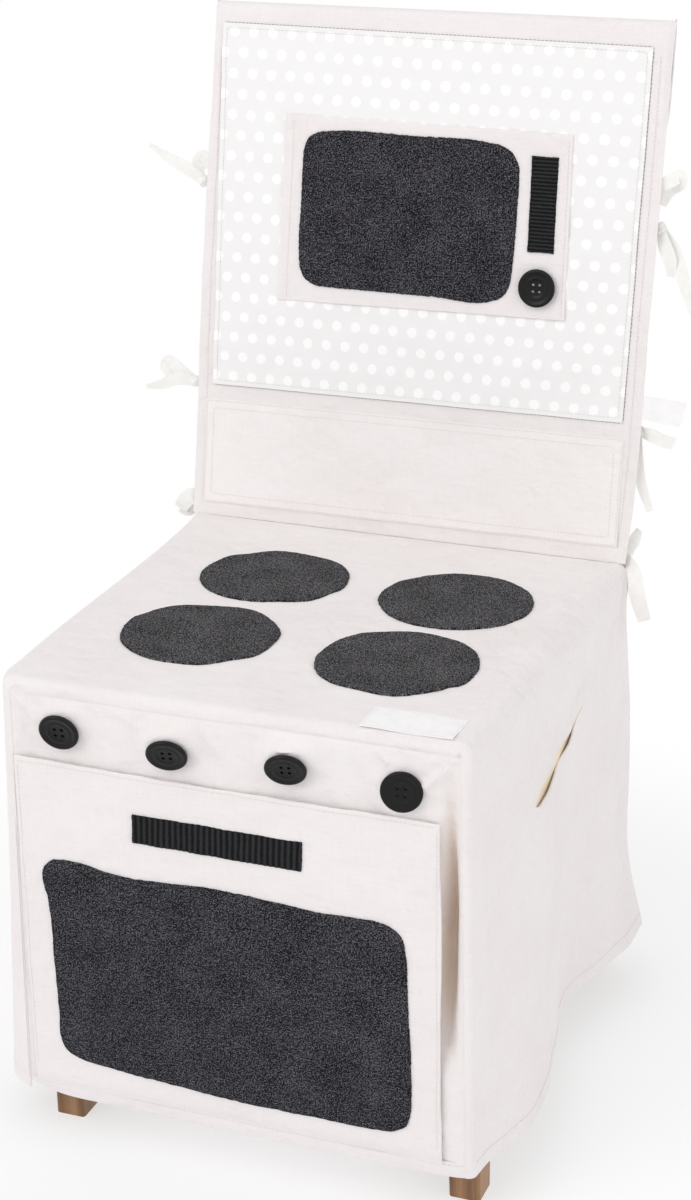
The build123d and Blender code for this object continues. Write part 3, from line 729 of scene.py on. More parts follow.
@dataclass(frozen=True)
class Swell:
    """Cloth drawn up to the back of a tilted button."""

    centre: Flat
    height: float
    slope: Flat

    def __call__(self, u: Array, v: Array) -> Array:
        """The height of the rise at each point."""
        du, dv = u - self.centre[0], v - self.centre[1]
        near = 1 - smoothstep(np.hypot(du, dv), 0.011, 0.034)
        return near * np.maximum(self.height + self.slope[0] * du + self.slope[1] * dv, 0.0)


Relief = Callable[[Array, Array], Array]


def relief(reliefs: Sequence[Relief], u: Array, v: Array) -> Array:
    """The sum of several reliefs."""
    return sum((shape(u, v) for shape in reliefs), np.zeros(np.broadcast(u, v).shape))


# ------------------------------------------------------------------ the cover's grounds
@dataclass(frozen=True)
class Cover:
    """The cover's main lines, read from the frame, in metres."""

    front: float
    hob: float
    sleeve: float
    rear_half: float
    front_half: float = 0.204
    lean: float = math.radians(8.5)

    @classmethod
    def from_frame(cls) -> Cover:
        """Read the lines from the CAD nodes."""
        front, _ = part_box("front_panel")
        _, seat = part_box("seat_panel")
        _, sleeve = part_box("sleeve_front")
        return cls(front.y, seat.z, seat.y + 0.0003, sleeve.x)

    def half_width(self, y: Array) -> Array:
        """Half the width of the hob at depths y."""
        share = (y - self.front) / (self.sleeve - self.front)
        return self.front_half + (self.rear_half - self.front_half) * share


@dataclass(frozen=True)
class Quad:
    """Four flat corners of a panel: both lower ones from the left, then the upper ones back."""

    low_left: Flat
    low_right: Flat
    high_right: Flat
    high_left: Flat

    def size(self) -> Flat:
        """The panel's mean width and height."""
        low_left, low_right, high_right, high_left = self._corners()
        wide = (low_right - low_left + high_right - high_left)[0] / 2
        high = (high_left - low_left + high_right - low_right)[1] / 2
        return float(wide), float(high)

    def at(self, across: Array, up: Array) -> tuple[Array, Array]:
        """Flat points at shares of the way across and up the panel."""
        shares = (1 - across) * (1 - up), across * (1 - up), across * up, (1 - across) * up
        place = sum(share[..., None] * corner for share, corner in zip(shares, self._corners()))
        return place[..., 0], place[..., 1]

    def _corners(self) -> tuple[Array, ...]:
        """The corners as arrays."""
        corners = self.low_left, self.low_right, self.high_right, self.high_left
        return tuple(np.array(corner) for corner in corners)


def box_quad(low_u: float, high_u: float, low_v: float, high_v: float) -> Quad:
    """A rectangle."""
    return Quad((low_u, low_v), (high_u, low_v), (high_u, high_v), (low_u, high_v))


class Ground(Protocol):
    """A surface that pieces lie on."""

    def at(self, u: Array, v: Array, lift: Array | float = 0.0) -> Array:
        """The points of the frame at flat coordinates u and v, lifted off the surface."""


@dataclass(frozen=True)
class HobGround:
    """Top of the hob: u across, v deep."""

    cover: Cover
    reliefs: tuple[Relief, ...]

    def at(self, u: Array, v: Array, lift: Array | float = 0.0) -> Array:
        """Points on the hob cloth."""
        u, v = np.broadcast_arrays(u, v)
        z = self.cover.hob + relief(self.reliefs, u, v) + lift
        return np.stack([u, v, z], axis=-1)


@dataclass(frozen=True)
class FrontGround:
    """The upright front: u across, v up."""

    front: float
    reliefs: tuple[Relief, ...]

    def at(self, u: Array, v: Array, lift: Array | float = 0.0) -> Array:
        """Points on the front cloth, lifted towards -Y."""
        u, v = np.broadcast_arrays(u, v)
        y = self.front - relief(self.reliefs, u, v) - lift
        return np.stack([u, y, v], axis=-1)


@dataclass(frozen=True)
class BackGround:
    """The leaning back: u across, v up along it from the hob."""

    cover: Cover
    face: float
    reliefs: tuple[Relief, ...]

    def at(self, u: Array, v: Array, lift: Array | float = 0.0) -> Array:
        """Points on the leaning face, lifted towards the front."""
        u, v = np.broadcast_arrays(u, v)
        depth = self.face - relief(self.reliefs, u, v) - lift
        return on_back(self.cover, u, depth, v)


def on_back(cover: Cover, x: Array, depth: Array, height: Array) -> Array:
    """Points of the frame from places on the leaning back.

    Args:
        cover: the cover's main lines.
        x: across.
        depth: behind the sleeve's front face.
        height: up along the sleeve from the hob.

    Returns:
        The points, in the frame.
    """
    x, depth, height = np.broadcast_arrays(x, depth, height)
    sine, cosine = math.sin(cover.lean), math.cos(cover.lean)
    y = cover.sleeve + depth * cosine + height * sine
    z = cover.hob - depth * sine + height * cosine
    return np.stack([x, y, z], axis=-1)


# ------------------------------------------------------------------ mesh building
class Piece:
    """A mesh put together from grids and turned into one object."""

    def __init__(self, name: str) -> None:
        """Start an empty mesh."""
        self.name = name
        self.points: list[Array] = []
        self.flat: list[Array] = []
        self.faces: list[Sequence[int]] = []
        self.count = 0
        self.tint: Array | None = None

    def store(self, points: Array, flat: Array | None = None) -> int:
        """Store points, with or without flat coordinates, and return the first one's number."""
        points = np.asarray(points, float).reshape(-1, 3)
        flat = points[:, :2] if flat is None else np.asarray(flat, float).reshape(-1, 2)
        self.points.append(points)
        self.flat.append(flat)
        first = self.count
        self.count += len(points)
        return first

    def grid(self, points: Array, flat: Array | None = None, wrap: bool = False) -> Piece:
        """Add a grid of faces.

        Args:
            points: an array of rows, columns and coordinates.
            flat: the flat coordinates of the same points.
            wrap: whether the last column joins the first.

        Returns:
            This piece.
        """
        rows, columns = points.shape[:2]
        number = self.store(points, flat) + np.arange(rows * columns).reshape(rows, columns)
        after = np.roll(number, -1, axis=1)
        corners = np.stack([number[:-1], after[:-1], after[1:], number[1:]], axis=-1)
        if not wrap:
            corners = corners[:, :-1]
        self.faces.extend(corners.reshape(-1, 4).tolist())
        return self

    def fan(self, ring: Array, tip: Array, flat: Array | None = None, flip: bool = False) -> Piece:
        """Close a ring of points with triangles to a tip.

        Args:
            ring: the points round the hole.
            tip: the middle point.
            flat: the flat coordinates of the ring and then the tip.
            flip: whether the triangles face the other way.

        Returns:
            This piece.
        """
        first = self.store(np.concatenate([ring, [tip]]), flat)
        size = len(ring)
        for k in range(size):
            corners = (first + k, first + (k + 1) % size, first + size)
            self.faces.append(corners[::-1] if flip else corners)
        return self

    def rings(self, rows: list[Array], flats: list[Array], centre: Array) -> Piece:
        """Join each ring of points to the next, and close the last one at its middle."""
        self.grid(np.stack(rows), np.stack(flats), wrap=True)
        return self.fan(rows[-1], rows[-1].mean(axis=0), np.concatenate([flats[-1], [centre]]))

    def make(
        self, finish: Finish, thickness: float = 0.0, sharp: float = SHARP_EDGE,
    ) -> Object:
        """Turn the grids into one object.

        Args:
            finish: what it is made of.
            thickness: of the cloth, behind its given face.
            sharp: angle from which an edge is shaded sharp.

        Returns:
            The object, linked to the scene.
        """
        mesh = bpy.data.meshes.new(self.name)
        points, flat = np.concatenate(self.points), np.concatenate(self.flat)
        mesh.from_pydata(points.tolist(), [], self.faces)
        if self.tint is not None:
            tint = mesh.attributes.new(TINT, "FLOAT", "POINT")
            tint.data.foreach_set("value", self.tint.astype(np.float32))
        corner = np.zeros(len(mesh.loops), int)
        mesh.loops.foreach_get("vertex_index", corner)
        layer = mesh.uv_layers.new(name=CLOTH_MAP)
        layer.data.foreach_set("uv", flat[corner].astype(np.float32).ravel())
        weld(mesh)
        piece = linked(self.name, mesh)
        if thickness:
            solidify = piece.modifiers.new("thickness", "SOLIDIFY")
            solidify.thickness = thickness
            solidify.offset = -1.0
            settle(piece)
        piece.data.shade_smooth()
        piece.data.set_sharp_from_angle(angle=sharp)
        piece.data.materials.append(material_of(finish))
        return piece


def linked(name: str, data: bpy.types.ID) -> Object:
    """A new object, linked to the scene."""
    made = bpy.data.objects.new(name, data)
    bpy.context.scene.collection.objects.link(made)
    return made


def weld(mesh: bpy.types.Mesh) -> None:
    """Join points that coincide."""
    work = bmesh.new()
    work.from_mesh(mesh)
    bmesh.ops.remove_doubles(work, verts=work.verts, dist=1e-6)
    work.to_mesh(mesh)
    work.free()


def settle(piece: Object) -> None:
    """Apply a piece's modifiers to its mesh."""
    graph = bpy.context.evaluated_depsgraph_get()
    mesh = bpy.data.meshes.new_from_object(piece.evaluated_get(graph), depsgraph=graph)
    piece.modifiers.clear()
    piece.data = mesh


def pad(name: str, ground: Ground, outline: Array, finish: Finish, lift: float) -> Object:
    """A flat closed pad of felt with a rounded rim, on a ground.

    Args:
        name: of the object.
        ground: what it lies on.
        outline: its edge, as closed flat points, anticlockwise.
        finish: what it is made of.
        lift: of its lower face off the ground.

    Returns:
        The pad.
    """
    middle = outline.mean(axis=0)
    reach = float(np.linalg.norm(outline - middle, axis=1).min())
    levels = [(0.5, 0.0), (1.0, 0.0), (1.0, FELT - FELT_ROUND)]
    for angle in map(math.radians, (30, 60, 90)):
        share = 1 - FELT_ROUND * (1 - math.cos(angle)) / reach
        levels.append((share, FELT - FELT_ROUND * (1 - math.sin(angle))))
    rings = 14  # from the rim to the middle
    levels += [(share * (1 - ring / rings), FELT) for ring in range(1, rings)]
    rows, flats = [], []
    for share, height in levels:
        edge = middle + (outline - middle) * share
        rows.append(ground.at(edge[:, 0], edge[:, 1], lift + height))
        flats.append(edge)
    piece = Piece(name).grid(np.stack(rows), np.stack(flats), wrap=True)
    for end, height, flip in ((0, 0.0, True), (-1, FELT, False)):
        tip = np.ravel(ground.at(middle[0], middle[1], lift + height))
        piece.fan(rows[end], tip, np.concatenate([flats[end], [middle]]), flip)
    return piece.make(finish, sharp=SHARP_RIM)


def sewn(
    name: str, starts: Array, ends: Array, up: Array, finish: Finish, width: float = 0.00022,
) -> Object:
    """Stitches, each a short length of thread that dips into the cloth at both ends.

    Args:
        name: of the object.
        starts: where the stitches begin, in the frame.
        ends: where they end.
        up: the direction away from the cloth, one for all or one for each stitch.
        finish: the thread.
        width: half the thread's thickness.

    Returns:
        The stitches as one object.
    """
    along = ends - starts
    lift = units(np.broadcast_to(up, starts.shape))
    side = units(np.cross(along, lift))
    rings = []
    for share, size in ((0.0, 0.3), (0.18, 1.0), (0.82, 1.0), (1.0, 0.3)):
        spot = starts + along * share
        ring = [spot + width * size * (side * c + lift * (s + 0.5))
                for c, s in ((1, 0), (0, 1), (-1, 0), (0, -1))]
        rings.append(np.stack(ring, axis=1))
    points = np.stack(rings, axis=1)
    piece = Piece(name)
    first = piece.store(points)
    local = np.arange(16).reshape(4, 4)
    after = np.roll(local, -1, axis=1)
    sides = np.stack([local[:-1], after[:-1], after[1:], local[1:]], axis=-1).reshape(-1, 4)
    caps = np.array([local[0][::-1], local[3]])
    pattern = np.concatenate([sides, caps])[:, ::-1]
    offsets = first + 16 * np.arange(len(starts))
    piece.faces.extend((offsets[:, None, None] + pattern).reshape(-1, 4).tolist())
    return piece.make(finish)


def dashes(path: Array) -> tuple[Array, Array]:
    """The two ends of each stitch of a running seam along a path."""
    pitch = STITCH + STITCH_GAP
    marks = np.arange(max(int(distances(path)[-1] / pitch), 1)) * pitch
    return read_path(path, marks), read_path(path, marks + STITCH)


def rounded_outline(span: Span, radius: float, count: int) -> Array:
    """Closed outline of a rectangle with round corners, anticlockwise and evenly spaced."""
    low_u, high_u, low_v, high_v = span
    corners = ((high_u, high_v, 0), (low_u, high_v, 90), (low_u, low_v, 180), (high_u, low_v, 270))
    points = []
    for corner_u, corner_v, start in corners:
        centre_u = corner_u - radius * (1 if start in (0, 270) else -1)
        centre_v = corner_v - radius * (1 if start in (0, 90) else -1)
        for angle in map(math.radians, np.linspace(start, start + 90, 9)):
            aside, up = radius * math.cos(angle), radius * math.sin(angle)
            points.append((centre_u + aside, centre_v + up))
    return evenly(looped(np.array(points)), count, closed=True)


def zigzag(outline: Array, pitch: float, inner: float, outer: float) -> Array:
    """A closed zig-zag line along an outline, between two distances inside it."""
    edge = looped(outline)
    count = 2 * int(distances(edge)[-1] / pitch / 2)
    spots = evenly(edge, count, closed=True)
    along = units(np.roll(spots, -1, axis=0) - np.roll(spots, 1, axis=0))
    inward = np.stack([-along[:, 1], along[:, 0]], axis=1)
    depth = np.where(np.arange(count) % 2 == 0, inner, outer)
    return looped(spots + inward * depth[:, None])


def to_edge(across: Array, wide: float, up: Array, high: float) -> Array:
    """Distance of each point of a flat piece from its nearest edge."""
    return np.minimum(np.minimum(across, wide - across), np.minimum(up, high - up))


def rounded(away: Array, roll: float) -> Array:
    """Share of a piece's full thickness at distances from its rounded edge."""
    return np.sqrt(np.clip(1 - (1 - np.minimum(away / roll, 1.0)) ** 2, 0.0, 1.0))


def slab(
    name: str,
    ground: Ground,
    quad: Quad,
    finish: Finish,
    thickness: float,
    lift: float = 0.0,
    spacing: float = 0.005,
    roll: float = 0.0012,
    curl: float = 0.0,
    shift: Relief | None = None,
) -> Object:
    """A closed flap of doubled cloth with rolled edges, on a ground.

    Args:
        name: of the object.
        ground: what it lies on.
        quad: its corners.
        finish: what it is made of.
        thickness: of the flap.
        lift: of its back face off the ground.
        spacing: of the grid.
        roll: radius of its edges.
        curl: how far its edges stand off the ground.
        shift: how far its edges wander, by u and v.

    Returns:
        The flap.
    """
    wide, high = quad.size()
    edge = roll * (1 - np.cos(np.radians([0, 35, 65, 90])))

    def marks(length: float) -> Array:
        """Where the grid lines stand: close together at both edges."""
        inner = np.linspace(roll * 2, length - roll * 2, max(int(length / spacing), 2))
        return np.concatenate([edge, inner, (length - edge)[::-1]])

    across, up = np.meshgrid(marks(wide), marks(high))
    away = to_edge(across, wide, up, high)
    swell = rounded(away, roll)
    flat = np.stack([across, up], axis=-1)
    u, v = quad.at(across / wide, up / high)
    if shift is not None:
        wander = shift(u, v)
        u = u + wander * np.sign(across - wide / 2) * smoothstep(-away, -0.03, 0.0)
        v = v + wander * np.sign(up - high / 2) * smoothstep(-away, -0.03, 0.0)
    lifted = lift + curl * (1 - smoothstep(away, 0.0, 0.007))
    half = thickness / 2
    face = ground.at(u, v, lifted + half * (1 + swell))
    rear = ground.at(u, v, lifted + half * (1 - swell))
    piece = Piece(name).grid(face, flat).grid(rear[:, ::-1], flat[:, ::-1])
    return piece.make(finish, sharp=SHARP_RIM)


# ------------------------------------------------------------------ riding on the frame
def install(piece: Object, body: str, slot: str, *nodes: str) -> Object:
    """Let a piece ride on a body and stand for CAD nodes.

    Args:
        piece: the piece.
        body: the CAD body that carries it.
        slot: the record's material slot, not used.
        nodes: the CAD nodes that it replaces.

    Returns:
        The piece.
    """
    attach(piece, body)
    if nodes:
        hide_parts(*nodes)
    log.info("%s: %d faces on %s", piece.name, len(piece.data.polygons), body)
    return piece


def seam(name: str, path: Array, up: Place, body: str, finish: Finish = PALE_THREAD) -> Object:
    """A running seam along a path, riding on a body."""
    return install(sewn(name, *dashes(path), np.array(up), finish), body, "thread")


def knob_back(knob: str) -> tuple[Vector, Vector]:
    """The middle of a knob's back, and the axis of its joint, which points off the cloth."""
    joint = next(row for row in frame["joints"] if row["child"] == knob)
    axis = Vector(joint["axis"]).normalized()
    low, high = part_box(knob)
    return (low + high) / 2 - axis * KNOB_HALF, axis


def dress(node: str, finish: Finish) -> None:
    """Give a CAD node its material."""
    for place in frame["nodes"][node].material_slots:
        place.material = material_of(finish)


# ------------------------------------------------------------------ the chair
@dataclass(frozen=True)
class Chair:
    """The wooden chair inside the cover, whose CAD solids stay as they are."""

    upright: tuple[str, ...] = (
        "front_right_leg", "front_left_leg", "rear_right_post", "rear_left_post",
        "back_slats", "corner_blocks",
    )
    across: tuple[str, ...] = (
        "front_rail", "rear_rail", "cross_stretcher", "crest_rail", "lower_back_rail",
    )
    deep: tuple[str, ...] = (
        "right_rail", "left_rail", "right_stretcher", "left_stretcher", "seat_board",
    )

    def build(self) -> None:
        """Give each member wood whose grain runs along it, and the screws their steel."""
        for names, grain in (
            (self.upright, Grain.UPRIGHT),
            (self.across, Grain.ACROSS),
            (self.deep, Grain.DEEP),
        ):
            for name in names:
                dress(name, Wood(grain))
        dress("seat_screws", Steel())


# ------------------------------------------------------------------ hob and skirts
@dataclass(frozen=True)
class Side:
    """How one skirt leaves the hob and hangs: its values at the shell's depths and heights."""

    way: float
    fold: Row
    bulge: Row
    wave: Row
    roll: float
    seam: Row
    reliefs: tuple[Relief, ...]


LEFT = Side(
    way=-1.0,
    fold=(0.012, 0.0115, 0.011, 0.010, 0.010, 0.011, 0.012, 0.012, 0.009, 0.006),
    bulge=(0.0, 0.005, 0.008, 0.0105, 0.011, 0.0095, 0.0078, 0.0078, 0.0092, 0.0088),
    wave=(0.006, 0.0140, 0.019, 0.010, -0.008, -0.004, 0.004),
    roll=0.0022,
    seam=(0.0020, 0.0020, 0.0024, 0.0028, 0.0028, 0.0026),
    reliefs=(
        Ripple(0.0011, 0.15, 17, (0.6, 1.8)),
        Crease((-0.16, 0.30), (-0.20, 0.12), 0.016, 0.002),
        Crease((0.05, 0.40), (0.00, 0.16), 0.018, 0.0025),
    ),
)
RIGHT = Side(
    way=1.0,
    fold=(0.011, 0.0115, 0.012, 0.0135, 0.016, 0.021, 0.024, 0.023, 0.013, 0.007),
    bulge=(0.0, 0.0005, 0.001, 0.002, 0.002, 0.0, -0.0025, -0.006, -0.0105, -0.0112),
    wave=(0.004, 0.004, 0.0195, 0.005, -0.016, -0.007, 0.006),
    roll=0.006,
    seam=(0.006, 0.008, 0.009, 0.0105, 0.0095, 0.0095),
    reliefs=(
        Ripple(0.0010, 0.16, 15, (0.6, 1.8)),
        Ripple(0.0003, 0.05, 16, (0.8, 1.4)),
        Crease((0.180, 0.43), (0.10, 0.385), 0.010, 0.0028),
        Crease((0.188, 0.41), (0.12, 0.27), 0.014, -0.0025),
        Ripple(0.0007, 0.12, 18, (0.7, 1.6), creased=True),
        Crease((-0.02, 0.28), (0.02, 0.08), 0.02, -0.003),
        Crease((-0.235, 0.36), (-0.225, 0.12), 0.010, 0.002),
    ),
)


@dataclass(frozen=True)
class Shell:
    """Hob cloth and both side skirts, folded from one width over the hob's edges."""

    cover: Cover
    thickness: float = 0.0014
    hem: float = 0.0455
    top_roll: float = 0.008
    top_seam: float = 0.012
    depths: Row = (
        -0.252, -0.249, -0.244, -0.208, -0.157, -0.057, 0.023, 0.109, 0.165, 0.173,
    )
    wave_shares: Row = (0.0, 0.02, 0.22, 0.43, 0.64, 0.84, 1.0)
    seam_heights: Row = (0.045, 0.17, 0.30, 0.38, 0.42, 0.445)
    rear_lows: Row = (0.0, 0.05, 0.12, 0.2, 1.0)
    rear_depths: Row = (0.185, 0.188, 0.2025, 0.2042, 0.2184)
    drawn_heights: Row = (
        0.0455, 0.051, 0.073, 0.096, 0.130, 0.187, 0.232, 0.276, 0.319, 0.362, 0.394, 0.438,
    )
    drawn_in: Row = (
        0.2272, 0.2265, 0.221, 0.2155, 0.2100, 0.2105, 0.2112, 0.2104, 0.2085, 0.2062, 0.2054,
        0.208,
    )
    slit_middle: Flat = (-0.0305, 0.3410)
    slit_half: float = 0.0835
    slit_slope: float = 0.132
    slit_gape: float = 0.0084
    slit_out: Flat = (0.04, 0.02)
    hung_rows: int = 90
    top_columns: int = 88
    deep_rows: int = 104
    warped: int = 30  # columns past the slit that bend with it
    opened: int = 25  # columns on each side of the slit that its lips move
    hob_reliefs: tuple[Relief, ...] = (
        Ripple(0.0007, 0.085, 5),
        Ripple(0.0003, 0.034, 6),
        Ripple(0.0006, 0.090, 8, creased=True),
        Crease((0.10, -0.165), (0.19, -0.145), 0.005, 0.0010),
        Crease((0.16, -0.02), (0.205, 0.06), 0.005, -0.0010),
        Crease((0.165, 0.02), (0.21, 0.10), 0.005, 0.0011),
        Crease((-0.19, -0.20), (-0.10, -0.225), 0.006, 0.0009),
        Crease((0.2037, 0.168), (0.1606, 0.1207), 0.006, 0.0018),
        Crease((0.2037, 0.160), (0.1806, 0.0907), 0.006, -0.0016),
        Crease((0.1687, -0.0715), (0.1948, -0.0272), 0.0035, 0.0009),
        Crease((0.193, -0.119), (0.2165, -0.0546), 0.0035, -0.0009),
        Crease((-0.15, 0.163), (0.06, 0.159), 0.008, 0.0009),
    )

    @property
    def drop(self) -> float:
        """Height from the hem to the hob."""
        return self.cover.hob - self.hem

    def half(self, side: Side, y: Array) -> Array:
        """Distance of the hob's edge from the middle at depths y."""
        return self.cover.half_width(y) + hermite(self.depths, side.bulge, y)

    def rear(self, low: Array) -> Array:
        """Depth of a skirt's rear edge, by its share of the way down."""
        return hermite(self.rear_lows, self.rear_depths, low)

    def face(self, side: Side, y: Array, z: Array) -> Array:
        """Distance of a skirt's outer face from the middle."""
        low = np.clip((self.cover.hob - z) / self.drop, 0.0, 1.0)
        share = (y - self.cover.front) / (self.rear(low) - self.cover.front)
        hung = self.half(side, y) + hermite(self.wave_shares, side.wave, share) * low ** 1.15
        if side.way < 0:
            return hung
        drawn = smoothstep(y, 0.03, 0.205) * smoothstep(low, 0.02, 0.12)
        return hung * (1 - drawn) + hermite(self.drawn_heights, self.drawn_in, z) * drawn

    def seam_x(self, side: Side, z: Array) -> Array:
        """Distance of the front seam from the middle at height z."""
        front = np.full_like(z, self.cover.front)
        return self.face(side, front, z) - hermite(self.seam_heights, side.seam, z)

    def build(self) -> HobGround:
        """Build the shell and return the ground for what lies on the hob."""
        points, flat, slit, hems = self._surface()
        upper, lower = self._slit(points, slit)
        piece = Piece("hob_and_skirts")
        piece.grid(upper, flat[:, :slit + 1]).grid(lower, flat[:, slit:])
        shell = piece.make(CANVAS, self.thickness)
        install(shell, COVER, "canvas", "seat_panel", "left_side_panel", "right_side_panel")
        for name, column, way in zip(("left_hem_seam", "right_hem_seam"), hems, (-1.0, 1.0)):
            seam(name, points[9:, column] + np.array([way * 0.0002, 0, 0]), (way, 0.0, 0.0), COVER)
        return HobGround(self.cover, self.hob_reliefs)

    def _surface(self) -> tuple[Array, Array, int, tuple[int, int]]:
        """The shell's grid, from the left hem over the hob to the right hem.

        Returns:
            The points, their flat coordinates, the pocket mouth's column and the hem seams'.
        """
        cover, drop = self.cover, self.drop
        hang = np.concatenate([np.linspace(0, 0.95, self.hung_rows), [0.965, 0.98, 0.99, 1.0]])
        turns = np.radians(np.linspace(0, 90, 12))[1:-1]
        top = np.linspace(-1, 1, self.top_columns)
        blank_hang, blank_turn, blank_top = map(np.zeros_like, (hang, turns, top))
        hang_of = np.concatenate([hang[::-1], blank_turn, blank_top, blank_turn, hang])
        turn = np.concatenate([
            blank_hang + math.pi / 2, turns[::-1], blank_top, turns, blank_hang + math.pi / 2,
        ])
        middle = len(hang) + len(turns)
        across = np.concatenate([-np.ones(middle), top, np.ones(middle)])
        number = np.arange(len(turn))
        on_side = (number < len(hang)) | (number >= len(turn) - len(hang))
        on_top = (number >= middle) & (number < middle + len(top))
        way = np.sign(across)
        angle = np.radians([90, 90, *np.linspace(90, 0, 8)])
        share = np.concatenate([np.zeros(len(angle)), np.linspace(0, 1, self.deep_rows)[1:]])
        angle = np.concatenate([angle, np.zeros(len(share) - len(angle))])
        roll_side = np.where(way > 0, RIGHT.roll, LEFT.roll)
        roll = self.top_roll + (roll_side - self.top_roll) * turn / (math.pi / 2)
        top_rear = np.where(on_top, cover.sleeve - 0.0006, cover.sleeve + 0.004)
        rear = np.where(on_side, self.rear(hang_of), top_rear)
        ahead = roll * (1 - np.sin(angle))[:, None]
        y = cover.front + ahead + (rear - cover.front - roll) * share[:, None]
        y[0] = cover.front + np.where(way > 0, 0.0012, 0.0003)
        y[1] = cover.front + 0.0002

        def by_side(value: Callable[[Side], Array]) -> Array:
            """A value of the right side on the right, and of the left side on the left."""
            return np.where(way > 0, value(RIGHT), value(LEFT))

        half = by_side(lambda side: self.half(side, y))
        fold = by_side(lambda side: hermite(self.depths, side.fold, y))
        z = cover.hob - fold * (1 - np.cos(turn)) - (drop - fold) * hang_of * on_side
        low = (cover.hob - z) / drop
        x = way * (half - fold * (1 - np.sin(turn)))
        x = np.where(on_top, across * (half - fold), x)
        hung = by_side(lambda side: self.face(side, y, z))
        calm = smoothstep(low, 0.03, 0.12) * smoothstep(y - cover.front, 0.0, 0.04)
        hung = hung + calm * by_side(lambda side: relief(side.reliefs, y, z))
        x = np.where(on_side, way * hung, x)
        calm = smoothstep(half - np.abs(x), 0.005, 0.03) * smoothstep(cover.sleeve - y, 0.0, 0.012)
        calm = calm * smoothstep(y - cover.front, 0.008, 0.03)
        z = z + np.where(on_top, relief(self.hob_reliefs, x, y) * calm, 0.0)
        inward = roll * (1 - np.cos(angle))[:, None] + np.zeros_like(y)
        seam_depth = by_side(lambda side: hermite(self.seam_heights, side.seam, z[0]))
        seam_depth = self.top_seam + (seam_depth - self.top_seam) * turn / (math.pi / 2)
        inward[0] = np.maximum(seam_depth, roll + 0.0002)
        inward[1] = np.maximum(seam_depth - 0.0012, roll)
        unrolled = way * (half - fold + fold * turn + (drop - fold) * hang_of * on_side)
        unrolled = np.where(on_top, x, unrolled)
        x = x - way * np.sin(turn) * inward
        z = z - np.cos(turn) * inward
        flat = np.stack([unrolled, y - inward], axis=-1)
        slit_low = (cover.hob - self.slit_middle[1]) / drop
        slit = len(turn) - len(hang) + int(np.argmin(np.abs(hang - slit_low)))
        hem = int(np.argmin(np.abs(hang - 0.96)))
        return np.stack([x, y, z], axis=-1), flat, slit, (len(hang) - 1 - hem, hem - len(hang))

    def _slit(self, points: Array, slit: int) -> tuple[Array, Array]:
        """Open the pocket's mouth along one column of the right skirt.

        Args:
            points: the shell's points.
            slit: the column that the mouth follows.

        Returns:
            The points up to the mouth's upper lip, and from its lower lip on.
        """
        y, z = points[..., 1], points[..., 2]
        middle_y, middle_z = self.slit_middle
        reach = np.clip(y - middle_y, -self.slit_half, self.slit_half)
        beyond = np.abs(y - middle_y) - self.slit_half
        target = middle_z + reach * self.slit_slope
        base = z[:, slit:slit + 1]
        near = 1 - smoothstep(np.abs(z - base), 0.0, 0.07)
        side = np.arange(points.shape[1]) > slit - self.warped
        warp = near * (target - base) * (1 - smoothstep(beyond, 0.0, 0.06)) * side
        points = points.copy()
        points[..., 2] = z + warp
        share = (y[:, slit:slit + 1] - middle_y + self.slit_half) / (2 * self.slit_half)
        gape = hermite((0.0, 0.05, 0.16, 0.4, 0.8, 1.0), (0.0, 0.7, 1.0, 0.84, 0.42, 0.0), share)
        gape = gape * ((share > 0) & (share < 1)) * self.slit_gape
        parts = points[:, :slit + 1].copy(), points[:, slit:].copy()
        for part, lip, rise, out in zip(parts, (slit, 0), (1.0, -1.0), self.slit_out):
            away = np.abs(part[..., 2] - part[:, lip:lip + 1, 2])
            opened = gape * np.exp(-away / 0.014)
            opened = opened * (np.abs(np.arange(part.shape[1]) - lip) < self.opened)
            part[..., 2] += rise * opened
            part[..., 0] += out * opened
        return parts


